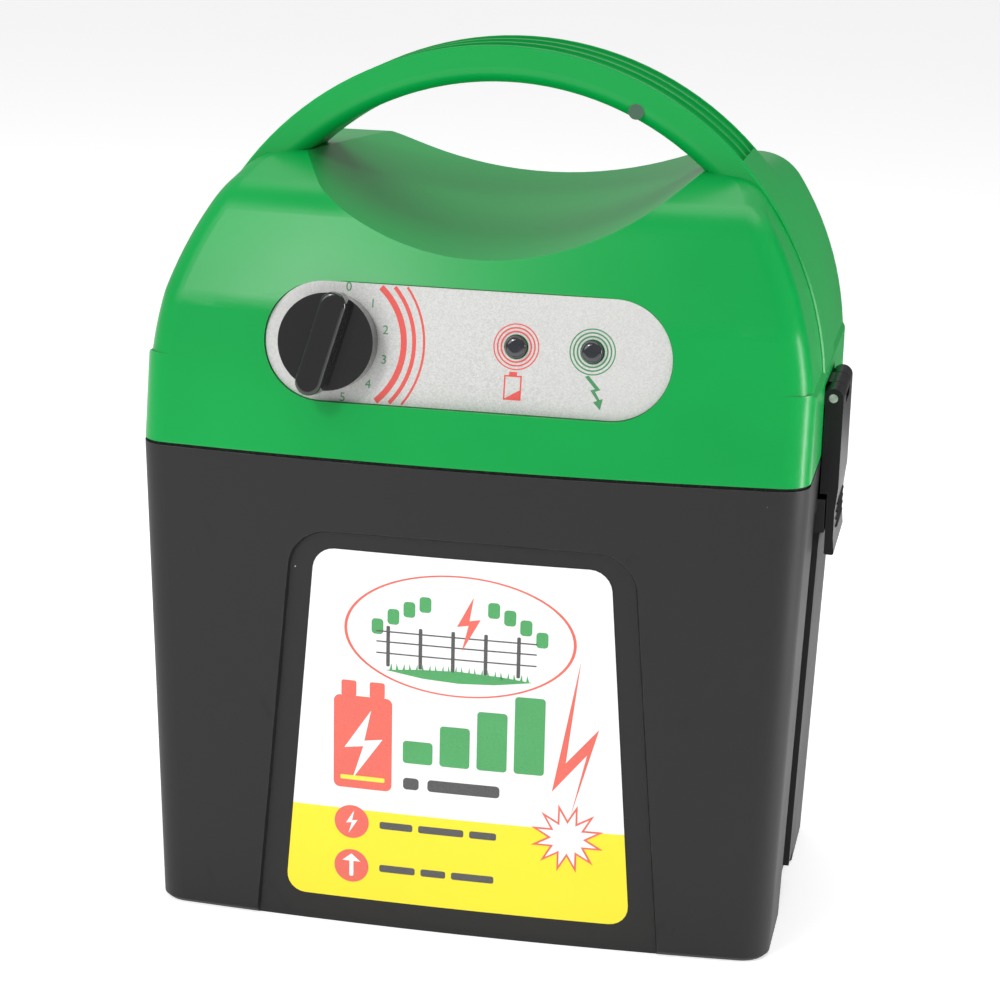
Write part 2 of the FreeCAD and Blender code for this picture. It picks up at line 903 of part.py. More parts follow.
def stadium(sketch, width, tall):
    """A slot shape with round ends."""
    straight = (width - tall) / 2
    return outline(sketch, [
        Corner(0 - straight, 0 - tall / 2),
        Corner(straight, 0 - tall / 2, via=(width / 2, 0)),
        Corner(straight, tall / 2),
        Corner(0 - straight, tall / 2, via=(0 - width / 2, 0)),
    ])


def panel_sketch(body, name, depth):
    """A sketch parallel to the panel, so far behind the face."""
    return sketch_on(body, "XZ", name, 0 - as_size(depth))


def lamp_places():
    return ((S.lamp_place_battery, S.lamp_rise), (S.lamp_place_pulse, S.lamp_rise))


def latch_pivot():
    return S.seam_width / 2 + S.latch_pivot_out


def latch_cuts(side):
    """The shallow pocket behind one latch's knuckle and the hole for its bracket's peg."""
    body = new_body("latch_pocket")
    room = S.latch_knuckle + S.latch_gap
    floor = latch_pivot() - room
    pocket = sketch_on(body, "XZ", "pocket")
    rectangle(pocket, *sorted_pair(floor * side, (floor + 20) * side,
                                   S.latch_pivot_height - room, S.latch_pivot_height + room))
    pad(body, pocket, (S.latch_half + S.latch_gap) * 2, both_ways=True)
    hole = sketch_on(body, "YZ", "peg_hole")
    circle(hole, 0, S.latch_pivot_height, S.peg_radius)
    pad(body, hole, (floor + 0.2), reverse=side < 0)
    return body


def screw_posts():
    """Four posts that take the base plate's screws."""
    body = new_body("posts")
    sketch = sketch_on(body, "XY", "posts_outline", S.plate_height + S.plate_thickness + 0.1)
    reach = S.seam_width / 2 - S.post_inset
    for x in (-1, 1):
        for y in (-1, 1):
            circle(sketch, reach * x, S.post_depth * y, S.post_radius)
            circle(sketch, reach * x, S.post_depth * y, S.screw_radius)
    pad(body, sketch, S.post_top - S.plate_height - S.plate_thickness)
    return body


def panel_cuts():
    """The sunk panel and the holes through its floor."""
    body = new_body("panel_pocket", on_panel)
    stadium(panel_sketch(body, "pocket", S.panel_depth), S.panel_width, S.panel_tall)
    pad(body, body.Group[-1], S.panel_depth + 12)
    holes = panel_sketch(body, "holes", S.panel_depth + S.wall * 2)
    circle(holes, 0 - S.knob_place, 0, S.bush_radius)
    for x, z in lamp_places():
        circle(holes, x, z, S.lamp_radius)
    pad(body, holes, S.wall * 2 + S.panel_depth)
    return body


def panel_backing():
    """The floor behind the sunk panel, as thick as the walls."""
    body = new_body("panel_backing", on_panel)
    sketch = panel_sketch(body, "backing", S.panel_depth + S.wall)
    stadium(sketch, S.panel_width + S.wall * 2, S.panel_tall + S.wall * 2)
    pad(body, sketch, S.panel_depth + S.wall + 12)
    return body


def terminal_holes():
    body = new_body("terminal_holes")
    sketch = sketch_on(body, "XZ", "terminal_outline", 0 - S.seam_depth / 2 - 1)
    for side in (-1, 1):
        circle(sketch, S.terminal_place * side, S.terminal_height, S.stud_radius + 1.5)
    pad(body, sketch, S.wall * 2 + 1)
    return body


def top_housing():
    zero = as_size(0)
    solid = common("solid_crown", arch_block("arch", zero), front_form("front", zero))
    rear = S.seam_depth.value / 2
    rounded = solid_fillet("rounded_rear", solid, S.rear_edge_radius, lambda e: (
        e.BoundBox.YMin > rear - 0.1 and e.CenterOfMass.z > housing_foot().value + 1))
    crown_half = S.seam_width.value * 0.33
    rounded = solid_fillet("rounded_sides", rounded, S.side_edge_radius, lambda e: (
        abs(e.CenterOfMass.x) > crown_half and e.BoundBox.YMax < 0
        and e.CenterOfMass.z > housing_foot().value + 1))
    scooped = cut("scooped_crown", rounded, scoop("scoop", zero))
    skirt = common("skirt", skirt_block("skirt_block"), front_form("skirt_front", zero))
    skirt = solid_fillet("rounded_skirt", skirt, S.side_edge_radius, lambda e: (
        e.BoundBox.ZLength > S.skirt_top.value - housing_foot().value - 5
        and abs(e.CenterOfMass.x) > S.seam_width.value / 2 - 1))
    outside = fuse("outside", scooped, skirt, handle())
    room = common("room", arch_block("room_arch", S.wall), front_form("room_front", S.wall))
    room = cut("room_under_scoop", room, scoop("scoop_wall", S.wall))
    room = cut("room_behind_panel", room, panel_backing())
    shell = cut("shell", outside, room)
    posted = fuse("shell_with_posts", shell, screw_posts())
    tools = fuse("housing_cuts", panel_cuts(), latch_cuts(1), latch_cuts(-1), terminal_holes())
    return keep(cut("top_housing", posted, tools), "top_housing")


# ---------------------------------------------------------------- plain shapes used by many pieces

def cylinder(body, plane, name, x, y, radius, start, length, kind="Pad"):
    """A round boss or hole from a place along the plane's normal, in the normal's direction."""
    sketch = circle(sketch_on(body, plane, name, start), x, y, radius)
    return pad(body, sketch, length, kind)


def hexagon(sketch, x, y, flats):
    """A nut's outline, with its flats above and below."""
    x, y, flats = as_size(x), as_size(y), as_size(flats)
    high = flats / 2
    point = flats / math.sqrt(3)
    return outline(sketch, [
        Corner(x - point, y),
        Corner(x - point / 2, y - high),
        Corner(x + point / 2, y - high),
        Corner(x + point, y),
        Corner(x + point / 2, y + high),
        Corner(x - point / 2, y + high),
    ])


def ring_edge(edge, radius):
    return isinstance(edge.Curve, Part.Circle) and abs(edge.Curve.Radius - radius.value) < 0.01


# ---------------------------------------------------------------- seam, battery and its leads

def housing_seal():
    """The soft strip that the housing's skirt closes on."""
    body = new_body("housing_seal")
    sketch = plan_sketch(body, "seal", S.tub_height, 0.9, S.corner_radius - 0.9)
    inner = S.wall + S.side_step
    plan(sketch, S.tub_height, inner, S.corner_radius - inner)
    pad(body, sketch, S.seal_thickness)
    return keep(body, "housing_seal")


def battery():
    half_width = S.battery_width / 2
    half_depth = S.battery_depth / 2
    floor = S.floor_thickness
    cushion = new_body("battery_pad")
    sketch = sketch_on(cushion, "XY", "pad_outline", floor)
    rectangle(sketch, 0 - half_width, 0 - half_depth, half_width, half_depth, S.battery_corner)
    pad(cushion, sketch, S.pad_thickness)
    keep(cushion, "battery_pad")

    case = new_body("battery_case")
    sketch = sketch_on(case, "XY", "case_outline", floor + S.pad_thickness)
    rectangle(sketch, 0 - half_width, 0 - half_depth, half_width, half_depth, S.battery_corner)
    pad(case, sketch, S.battery_height)
    top = battery_top().value
    fillet(case, S.battery_corner / 3, lambda e: e.BoundBox.ZMin > top - 0.01)
    keep(case, "battery_case")

    for side, name in ((1, "battery_terminal_plus"), (-1, "battery_terminal_minus")):
        post = new_body(name)
        cylinder(post, "XY", "post", S.post_spacing / 2 * side, 0, S.battery_post_radius,
                 battery_top(), S.battery_post_height)
        keep(post, name)


def battery_top():
    return S.floor_thickness + S.pad_thickness + S.battery_height


def battery_lead(side, colour):
    """A lead from the base plate down to a clip that caps one battery post."""
    x = S.post_spacing / 2 * side
    inner = S.battery_post_radius + S.clip_clearance
    foot = battery_top() + S.clip_clearance
    clip_top = foot + S.clip_height
    clip = new_body("battery_clip_" + colour)
    cylinder(clip, "XY", "clip", x, 0, inner + S.clip_wall, foot, S.clip_height)
    chamfer(clip, as_size(1.2), lambda e: e.BoundBox.ZMin > clip_top.value - 0.01)
    cylinder(clip, "XY", "hollow", x, 0, inner, foot, S.battery_post_height + S.clip_clearance * 2, "Pocket")
    keep(clip, "battery_clip_" + colour)

    lead = new_body("battery_lead_" + colour)
    path = sketch_on(lead, "XZ", "route")
    low = clip_top
    run = (S.plate_height - low) * 0.3
    across = (S.post_spacing / 2 - S.lead_shift) * side
    bend = run * 1.2
    outline(path, [
        Corner(x, low),
        Corner(x, low + run, bend),
        Corner(across, low + run * 2, bend),
        Corner(across, S.plate_height + S.plate_thickness + 3),
    ], closed=False)
    section = circle(sketch_on(lead, "XY", "section", low), x, 0, S.lead_radius)
    pipe = lead.newObject("PartDesign::AdditivePipe", "lead")
    pipe.Profile = section
    pipe.Spine = path
    lead.Tip = pipe
    keep(lead, "battery_lead_" + colour)


# ---------------------------------------------------------------- base plate and electronics

def corner_places(half_x, half_y):
    return [(half_x * sx, half_y * sy) for sx in (-1, 1) for sy in (-1, 1)]


def plate_screw_places():
    return corner_places(S.seam_width / 2 - S.post_inset, S.post_depth)


def board_screw_places():
    return corner_places(S.board_width / 2 - S.board_screw_inset, S.board_depth / 2 - S.board_screw_inset)


def base_plate():
    """Closes the housing from below, carries the circuit board and lets the battery leads through."""
    body = new_body("base_plate")
    slack = S.wall + S.moving_gap + 0.2
    half = S.seam_width / 2 - S.side_step - slack
    front = face_depth(S.plate_height + S.plate_thickness) + slack
    side = front + S.seam_bow
    rear = S.seam_depth / 2 - slack
    sketch = sketch_on(body, "XY", "plate", S.plate_height)
    outline(sketch, [
        Corner(0 - half, side, 4, via=(0, front)),
        Corner(half, side, 4),
        Corner(half, rear, 4),
        Corner(0 - half, rear, 4),
    ])
    for x, y in plate_screw_places():
        circle(sketch, x, y, S.screw_radius + S.screw_slack)
    for side in (-1, 1):
        circle(sketch, (S.post_spacing / 2 - S.lead_shift) * side, 0, S.lead_radius)
    pad(body, sketch, S.plate_thickness)
    top = S.plate_height + S.plate_thickness
    for x, y in board_screw_places():
        sketch = circle(sketch_on(body, "XY", "standoff", top - 0.2), x, y, S.screw_radius * 2)
        circle(sketch, x, y, S.screw_radius)
        pad(body, sketch, S.board_height - top + 0.2)
    return keep(body, "base_plate")


def screw(name, x, y, seat, upwards, length):
    """A pan head screw whose head rests on the seat."""
    body = new_body(name)
    way = 1 if upwards else -1
    head = S.screw_head
    start = seat - head if upwards else seat
    cylinder(body, "XY", "head", x, y, S.screw_radius * 1.9, start, head)
    low = seat - 0.1 if upwards else seat + 0.1 - length
    cylinder(body, "XY", "shank", x, y, S.screw_radius, low, length)
    face = (seat - head * way).value if upwards else (seat + head).value
    fillet(body, head / 3, lambda e: ring_edge(e, S.screw_radius * 1.9) and abs(middle_of(e).z - face) < 0.01)
    cylinder(body, "XY", "drive", x, y, S.screw_radius * 0.7, start if upwards else seat + head / 2,
             head / 2, "Pocket")
    keep(body, name)


def screws():
    for number, (x, y) in enumerate(plate_screw_places(), start=1):
        screw(f"plate_screw_{number}", x, y, S.plate_height, True, S.post_top - S.plate_height - 3)
    for number, (x, y) in enumerate(board_screw_places(), start=1):
        screw(f"board_screw_{number}", x, y, board_top(), False,
              board_top() - S.plate_height - S.plate_thickness)


def board_top():
    return S.board_height + S.board_thickness


def power_board():
    body = new_body("power_board")
    half_width = S.board_width / 2
    half_depth = S.board_depth / 2
    sketch = sketch_on(body, "XY", "board", S.board_height)
    rectangle(sketch, 0 - half_width, 0 - half_depth, half_width, half_depth, 2)
    for x, y in board_screw_places():
        circle(sketch, x, y, S.screw_radius + S.slip_gap)
    pad(body, sketch, S.board_thickness)
    return keep(body, "power_board")


def transformer():
    """An E core that stands on the board, with its coil round the middle leg."""
    x = 0 - S.core_place
    core = new_body("transformer_core")
    sketch = sketch_on(core, "XZ", "core")
    top = board_top() + S.core_height
    rectangle(sketch, x - S.core_width / 2, board_top(), x + S.core_width / 2, top)
    window = (S.core_width - S.core_leg * 3) / 2
    for side in (-1, 1):
        middle = x + (S.core_leg / 2 + window / 2) * side
        rectangle(sketch, middle - window / 2, board_top() + S.core_leg * 0.8,
                  middle + window / 2, top - S.core_leg * 0.8)
    pad(core, sketch, S.core_depth, both_ways=True)
    keep(core, "transformer_core")

    coil = new_body("transformer_coil")
    low = board_top() + S.core_leg * 0.8 + S.slip_gap
    sketch = sketch_on(coil, "XY", "coil", low)
    slip = S.slip_gap
    half_x = S.core_leg / 2 + window - slip
    half_y = S.core_depth / 2 + window - slip
    rectangle(sketch, x - half_x, 0 - half_y, x + half_x, half_y, 3)
    rectangle(sketch, x - S.core_leg / 2 - slip, 0 - S.core_depth / 2 - slip,
              x + S.core_leg / 2 + slip, S.core_depth / 2 + slip)
    pad(coil, sketch, S.core_height - S.core_leg * 1.6 - slip * 2)
    keep(coil, "transformer_coil")


def storage_capacitor():
    """The large capacitor, lying on the board."""
    body = new_body("storage_capacitor")
    height = board_top() + S.capacitor_radius
    start = S.capacitor_place - S.capacitor_length / 2
    sketch = circle(sketch_on(body, "YZ", "can", start), 18, height, S.capacitor_radius)
    pad(body, sketch, S.capacitor_length)
    fillet(body, as_size(1.6), lambda e: ring_edge(e, S.capacitor_radius))
    return keep(body, "storage_capacitor")


def inverter_coil():
    """A wound ring, flat on the board."""
    ring = DOC.addObject("Part::Torus", "inverter_coil")
    ring.Radius1 = 9.0
    ring.Radius2 = 4.0
    ring.Placement = FreeCAD.Placement(FreeCAD.Vector(26, -22, (board_top() + 4).value), FreeCAD.Rotation())
    bind(ring, "Placement.Base.z", board_top() + 4)
    return keep(ring, "inverter_coil")


def discharge_switch():
    """The thyristor that empties the capacitor, bolted flat against its finned heat sink."""
    x, back = as_size(62), as_size(-14)
    sink = new_body("heat_sink")
    sketch = sketch_on(sink, "XY", "fins", board_top())
    corners = [Corner(x - 13, back - 3), Corner(x + 13, back - 3)]
    for fin in range(5):
        right = x + 13 - fin * 6
        corners += [Corner(right, back + 8), Corner(right - 2, back + 8)]
        if fin < 4:
            corners += [Corner(right - 2, back), Corner(right - 6, back)]
    outline(sketch, corners)
    pad(sink, sketch, 26)
    keep(sink, "heat_sink")

    part = new_body("thyristor")
    sketch = sketch_on(part, "XY", "case", board_top() + 5)
    rectangle(sketch, x - 5, back - 7.5, x + 5, back - 3)
    pad(part, sketch, 16)
    for offset in (-2.5, 0, 2.5):
        leg = sketch_on(part, "XY", "leg", board_top())
        rectangle(leg, x + offset - 0.4, back - 5.6, x + offset + 0.4, back - 4.8)
        pad(part, leg, 6)
    keep(part, "thyristor")


# ---------------------------------------------------------------- control panel

def control_film():
    """The printed facing of the sunk panel, with holes for the switch and the lamps."""
    body = new_body("control_film", on_panel)
    sketch = panel_sketch(body, "film", S.panel_depth)
    stadium(sketch, S.panel_width - S.film_gap * 2, S.panel_tall - S.film_gap * 2)
    circle(sketch, 0 - S.knob_place, 0, S.bush_radius + S.film_gap)
    for x, z in lamp_places():
        circle(sketch, x, z, S.lamp_radius + S.film_gap)
    pad(body, sketch, S.film_thickness)
    return keep(body, "control_film")


def on_knob(body):
    """The panel's frame moved to the knob's axis."""
    on_panel(body)
    place = 0 - S.panel_shift - S.knob_place
    body.Placement.Base.x = place.value
    bind(body, "Placement.Base.x", place)


def film_face():
    return S.panel_depth - S.film_thickness


def panel_back():
    """The depth of the back of the panel's wall."""
    return S.panel_depth + S.wall


def rotary_switch():
    body = new_body("rotary_switch", on_knob)
    rear = panel_back() + S.switch_depth
    cylinder(body, "XZ", "can", 0, 0, S.switch_radius, 0 - rear, S.switch_depth)
    nose = film_face() - 2.6
    start = panel_back() + 1
    cylinder(body, "XZ", "bush", 0, 0, S.bush_radius - S.slip_gap, 0 - start, start - nose)
    cylinder(body, "XZ", "bore", 0, 0, S.shaft_radius + S.running_gap, 0 - rear + 3,
             rear - 3 - nose + 1, "Pocket")
    keep(body, "rotary_switch")

    nut = new_body("switch_nut", on_knob)
    sketch = hexagon(sketch_on(nut, "XZ", "nut", 0 - film_face()), 0, 0, 12)
    circle(sketch, 0, 0, S.bush_radius - S.slip_gap)
    pad(nut, sketch, 2)
    keep(nut, "switch_nut")


def rotary_knob():
    """A round skirt with a bar across it to hold and to point with, hollow over the nut."""
    body = new_body("rotary_knob", on_knob)
    base = film_face() - S.knob_gap
    cylinder(body, "XZ", "skirt", 0, 0, S.knob_radius, 0 - base, S.knob_skirt)
    bar = sketch_on(body, "XZ", "bar", S.knob_skirt - base - 1, turn=0 - S.pointer_angle)
    half = S.knob_bar_half
    reach = S.knob_bar_length
    outline(bar, [
        Corner(0 - half, half - reach, via=(0, 0 - reach)),
        Corner(half, half - reach),
        Corner(half, reach - half - 1, via=(0, reach - 1)),
        Corner(0 - half, reach - half - 1),
    ])
    pad(body, bar, S.knob_bar_height - S.knob_skirt + 1)
    fillet(body, as_size(1.3), lambda e: knob_height(body, e) > S.knob_bar_height.value - 0.01)
    cylinder(body, "XZ", "hollow", 0, 0, S.knob_hollow_radius, 0 - base, S.knob_hollow_depth, "Pocket")
    cylinder(body, "XZ", "shaft_bore", 0, 0, S.shaft_radius, 0 - base, S.shaft_in_knob, "Pocket")
    keep(body, "rotary_knob")

    shaft = new_body("knob_shaft", on_knob)
    rear = panel_back() + S.switch_depth - 3.5
    cylinder(shaft, "XZ", "shaft", 0, 0, S.shaft_radius, 0 - rear, rear - base + S.shaft_in_knob - 0.1)
    keep(shaft, "knob_shaft")


def knob_height(body, edge):
    """How far an edge lies in front of the knob's lower face."""
    base = film_face() - S.knob_gap
    return base.value - edge.CenterOfMass.y


def lamp_lens(name, x, z):
    """A smoked lens with a flange behind the panel and a stem that reaches back to its lamp."""
    body = new_body(name, on_panel)
    flange = 1.2
    board = control_board_face()
    cylinder(body, "XZ", "stem", x, z, S.lamp_radius * 0.7, 0 - board, board - panel_back())
    cylinder(body, "XZ", "flange", x, z, S.lamp_radius + 1.2, 0 - panel_back() - flange, flange)
    head = film_face() - 2.4
    cylinder(body, "XZ", "head", x, z, S.lamp_radius - S.slip_gap, 0 - panel_back(), panel_back() - head)
    fillet(body, S.lamp_radius * 0.5, lambda e: abs(e.CenterOfMass.y - head.value) < 0.01)
    keep(body, name)


def control_board_face():
    return panel_back() + S.switch_depth


def control_board():
    """The small board behind the panel, carried on the rotary switch."""
    body = new_body("control_board", on_panel)
    sketch = panel_sketch(body, "board", control_board_face() + S.board_thickness)
    width = S.control_board_width / 2
    tall = S.control_board_tall / 2
    rectangle(sketch, 0 - width - 2, 0 - tall, width - 2, tall, 2)
    pad(body, sketch, S.board_thickness)
    return keep(body, "control_board")


# ---------------------------------------------------------------- terminals on the rear

def terminal(side, name):
    """A fence or earth terminal: stud, insulating bush, nut, washer and thumb knob."""
    x = S.terminal_place * side
    z = S.terminal_height
    wall_face = S.seam_depth / 2
    inner = wall_face - S.wall
    nut_seat = wall_face + S.terminal_bush_height
    washer_seat = nut_seat + S.terminal_nut_height + S.moving_gap
    knob_seat = washer_seat + S.washer_thickness + S.moving_gap
    stud_end = knob_seat + S.terminal_knob_height + S.stud_free_end

    bush = new_body(name + "_terminal_bush")
    cylinder(bush, "XZ", "flange", x, z, S.terminal_bush_radius, 0 - nut_seat, S.terminal_bush_height)
    fillet(bush, as_size(0.8), lambda e: e.CenterOfMass.y > nut_seat.value - 0.01)
    sleeve = S.stud_radius + 1.5 - S.slip_gap
    cylinder(bush, "XZ", "sleeve", x, z, sleeve, 0 - wall_face - 0.5, S.wall + 1.5)
    cylinder(bush, "XZ", "bore", x, z, S.stud_radius, 0 - nut_seat - 1,
             S.terminal_bush_height + S.wall + 5, "Pocket")
    keep(bush, name + "_terminal_bush")

    stud = new_body(name + "_terminal_stud")
    head = inner - 1
    cylinder(stud, "XZ", "head", x, z, S.stud_radius * 1.9, 0 - head, S.stud_radius)
    cylinder(stud, "XZ", "point", x, z, S.stud_point_radius, 0 - stud_end, S.stud_free_end)
    cylinder(stud, "XZ", "shank", x, z, S.stud_radius, S.stud_free_end - stud_end,
             stud_end - S.stud_free_end - head + 0.5)
    chamfer(stud, as_size(0.6), lambda e: e.CenterOfMass.y > stud_end.value - 0.01)
    keep(stud, name + "_terminal_stud")

    nut = new_body(name + "_terminal_nut")
    sketch = hexagon(sketch_on(nut, "XZ", "nut", 0 - nut_seat - S.terminal_nut_height), x, z,
                     S.stud_radius * 3.3)
    circle(sketch, x, z, S.stud_radius)
    pad(nut, sketch, S.terminal_nut_height, reverse=False)
    keep(nut, name + "_terminal_nut")

    washer = new_body(name + "_terminal_washer")
    sketch = circle(sketch_on(washer, "XZ", "washer", 0 - washer_seat - S.washer_thickness), x, z,
                    S.terminal_knob_radius * 0.9)
    circle(sketch, x, z, S.stud_radius + S.moving_gap)
    pad(washer, sketch, S.washer_thickness)
    keep(washer, name + "_terminal_washer")

    knob = new_body(name + "_terminal_knob")
    top = knob_seat + S.terminal_knob_height
    cylinder(knob, "XZ", "grip", x, z, S.terminal_knob_radius, 0 - top, S.terminal_knob_height)
    fillet(knob, as_size(1.2), lambda e: e.CenterOfMass.y > top.value - 0.01)
    flutes = sketch_on(knob, "XZ", "flutes", 0 - top - 1)
    for i in range(10):
        angle = math.radians(36 * i)
        reach = S.terminal_knob_radius + 0.7
        circle(flutes, x + reach * math.cos(angle), z + reach * math.sin(angle), 1.6)
    pad(knob, flutes, S.terminal_knob_height + 2, "Pocket")
    cylinder(knob, "XZ", "bore", x, z, S.stud_radius + S.running_gap, 0 - top - 1,
             S.terminal_knob_height + 2, "Pocket")
    keep(knob, name + "_terminal_knob")


# ---------------------------------------------------------------- latches

def latch(side, name):
    """A draw latch that hangs on a pin, with a pocket that snaps over the tub's nose."""
    body = new_body(name)
    pivot = latch_pivot()
    inner = S.seam_width / 2 + S.latch_gap
    outer = pivot + S.latch_knuckle
    tab_inner = S.seam_width / 2 + S.lug_out + S.latch_gap
    tab_outer = tab_inner + S.latch_tab_thickness
    step = S.latch_step_height
    profile = sketch_on(body, "XZ", "plate")
    outline(profile, [
        Corner(inner * side, S.latch_pivot_height),
        Corner(inner * side, step),
        Corner(tab_inner * side, step),
        Corner(tab_inner * side, S.latch_tip_height, 0.8),
        Corner((tab_outer + 0.6) * side, S.latch_tip_height, 0.8),
        Corner(tab_outer * side, S.latch_tip_height + 6),
        Corner(tab_outer * side, step - 6),
        Corner(outer * side, step + 2),
        Corner(outer * side, S.latch_pivot_height),
    ])
    pad(body, profile, S.latch_half * 2, both_ways=True)
    knuckle = circle(sketch_on(body, "XZ", "knuckle"), pivot * side, S.latch_pivot_height, S.latch_knuckle)
    pad(body, knuckle, S.latch_half * 2, both_ways=True)
    slot = sketch_on(body, "XZ", "bracket_slot")
    rectangle(slot, *sorted_pair((inner - 4) * side, (outer + 4) * side,
                                 S.latch_pivot_height - S.latch_knuckle - S.latch_gap, S.latch_pivot_height + 9))
    pad(body, slot, (S.bracket_half + S.latch_gap) * 2, "Pocket", both_ways=True)
    middle = S.lug_bottom + S.lug_height / 2
    high = S.nose_height / 2 + S.moving_gap
    deep = S.nose_out + S.moving_gap - S.latch_gap
    pocket = sketch_on(body, "XZ", "nose_pocket")
    outline(pocket, [
        Corner((tab_inner - 1) * side, middle - high - 0.9),
        Corner((tab_inner + deep) * side, middle - high + deep + 0.1),
        Corner((tab_inner + deep) * side, middle + high - deep - 0.1),
        Corner((tab_inner - 1) * side, middle + high + 0.9),
    ])
    pad(body, pocket, (S.nose_half + S.moving_gap) * 2, "Pocket", both_ways=True)
    hole = circle(sketch_on(body, "XZ", "pin_hole"), pivot * side, S.latch_pivot_height,
                  S.pin_radius + S.running_gap)
    pad(body, hole, S.latch_half * 2 + 2, "Pocket", both_ways=True)
    for i in range(4):
        level = S.latch_tip_height + 8 + 2.6 * i
        ridge = sketch_on(body, "XZ", "grip_ridge")
        outline(ridge, [
            Corner((tab_outer - 0.3) * side, level - 0.9),
            Corner((tab_outer + 0.7) * side, level),
            Corner((tab_outer - 0.3) * side, level + 0.9),
        ])
        pad(body, ridge, S.latch_half * 1.2, both_ways=True)
    keep(body, name)

    pin = new_body(name.replace("latch", "latch_pin"))
    sketch = circle(sketch_on(pin, "XZ", "pin"), pivot * side, S.latch_pivot_height, S.pin_radius)
    pad(pin, sketch, (S.latch_half - 0.5) * 2, both_ways=True)
    keep(pin, name.replace("latch", "latch_pin"))


def latch_bracket(side, name):
    """The knuckle between a latch's two cheeks, with a headed peg through the housing's wall."""
    body = new_body(name)
    floor = latch_pivot() - S.latch_knuckle - S.latch_gap
    web = S.latch_knuckle * 0.9
    sketch = sketch_on(body, "XZ", "web")
    rectangle(sketch, *sorted_pair(floor * side, latch_pivot() * side,
                                   S.latch_pivot_height - web, S.latch_pivot_height + web))
    pad(body, sketch, S.bracket_half * 2, both_ways=True)
    knuckle = circle(sketch_on(body, "XZ", "knuckle"), latch_pivot() * side, S.latch_pivot_height,
                     S.latch_knuckle)
    pad(body, knuckle, S.bracket_half * 2, both_ways=True)
    wall_face = S.seam_width / 2 - S.side_step - S.wall
    for part, radius, start, length in (
        ("peg", S.peg_radius, wall_face - 0.6, floor - wall_face + 1.1),
        ("peg_head", S.peg_radius * 1.7, wall_face - 1.55, as_size(1.4)),
    ):
        offset = start if side > 0 else 0 - start
        sketch = circle(sketch_on(body, "YZ", part, offset), 0, S.latch_pivot_height, radius)
        pad(body, sketch, length, reverse=side < 0)
    hole = circle(sketch_on(body, "XZ", "pin_hole"), latch_pivot() * side, S.latch_pivot_height, S.pin_radius)
    pad(body, hole, S.bracket_half * 2 + 2, "Pocket", both_ways=True)
    keep(body, name)


# ---------------------------------------------------------------- the whole object

def build():
    battery_box()
    front_label()
    housing_seal()
    battery()
    top_housing()
    base_plate()
    screws()
    power_board()
    transformer()
    storage_capacitor()
    inverter_coil()
    discharge_switch()
    control_film()
    rotary_switch()
    rotary_knob()
    for name, (x, z) in zip(("battery_lamp_lens", "pulse_lamp_lens"), lamp_places()):
        lamp_lens(name, x, z)
    control_board()
    for side, name in ((-1, "fence"), (1, "earth")):
        terminal(side, name)
    for side, colour in ((1, "red"), (-1, "black")):
        battery_lead(side, colour)
    for side, name in ((1, "right"), (-1, "left")):
        latch(side, "latch_" + name)
        latch_bracket(side, "latch_bracket_" + name)
    DOC.recompute()


def check():
    """Stops before anything is written if a feature failed or a piece has no sound solid."""
    for thing in DOC.Objects:
        if {"Invalid", "Error"} & set(thing.State):
            raise RuntimeError(f"{thing.Name}: {thing.State}")
    for node in NODES:
        if node.Shape.isNull() or not node.Shape.isValid() or not node.Shape.Solids:
            raise RuntimeError(f"{node.Label}: no sound solid")


def write():
    os.makedirs("parts", exist_ok=True)
    for node in NODES:
        node.Shape.exportStep(os.path.join("parts", node.Label + ".step"))


build()
check()
write()
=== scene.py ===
"""Finishes a nine volt fence energizer: case, label, control panel, lamps, knob, marks and studio."""

import math
import bmesh
import bpy
from bpy.props import FloatProperty, FloatVectorProperty, IntProperty, PointerProperty
from mathutils import Matrix, Vector


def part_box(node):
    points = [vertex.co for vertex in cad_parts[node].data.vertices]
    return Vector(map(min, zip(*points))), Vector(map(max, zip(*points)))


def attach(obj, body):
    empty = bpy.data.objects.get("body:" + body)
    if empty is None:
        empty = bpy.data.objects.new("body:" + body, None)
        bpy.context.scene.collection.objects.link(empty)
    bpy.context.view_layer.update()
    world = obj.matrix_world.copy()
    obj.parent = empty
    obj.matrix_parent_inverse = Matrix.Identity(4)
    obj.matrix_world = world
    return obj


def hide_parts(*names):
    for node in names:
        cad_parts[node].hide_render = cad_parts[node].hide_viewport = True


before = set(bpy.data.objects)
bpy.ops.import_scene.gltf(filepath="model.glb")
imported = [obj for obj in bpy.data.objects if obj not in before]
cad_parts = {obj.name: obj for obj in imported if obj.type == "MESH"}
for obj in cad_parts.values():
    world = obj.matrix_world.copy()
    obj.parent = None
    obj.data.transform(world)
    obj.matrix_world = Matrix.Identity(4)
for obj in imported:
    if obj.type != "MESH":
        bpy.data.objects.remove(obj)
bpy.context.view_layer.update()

bl_info = {
    "name": "Fence Energizer",
    "version": (1, 0, 0),
    "blender": (4, 5, 0),
    "location": "View3D > Sidebar > Energizer",
    "description": "Builds the label, panel prints, marks and finishes of a portable fence energizer",
    "category": "Object",
}

MM = 0.001
PRINT_THICKNESS = 0.03
LABEL_THICKNESS = 0.25
FACE_LEAN = math.radians(9.5)
FILM_HALF = 0.2
STRIP_WIDTH = 5.0
DUST_COLOUR = (0.5, 0.5, 0.49, 1.0)
TARNISH_COLOUR = (0.2, 0.19, 0.18, 1.0)

# The tub's front wall, in millimetres: each size at the floor, and how much it grows up to the seam.
TUB_HEIGHT = 164.0
BOW, BOW_GROWTH = 4.5, 2.3
HALF_WIDTH, HALF_WIDTH_GROWTH = 106.0, 5.0
FRONT, FRONT_GROWTH = 68.25, 4.75
RECESS_DEPTH = 1.3


# ---------------------------------------------------------------- sizes and colours a user may change

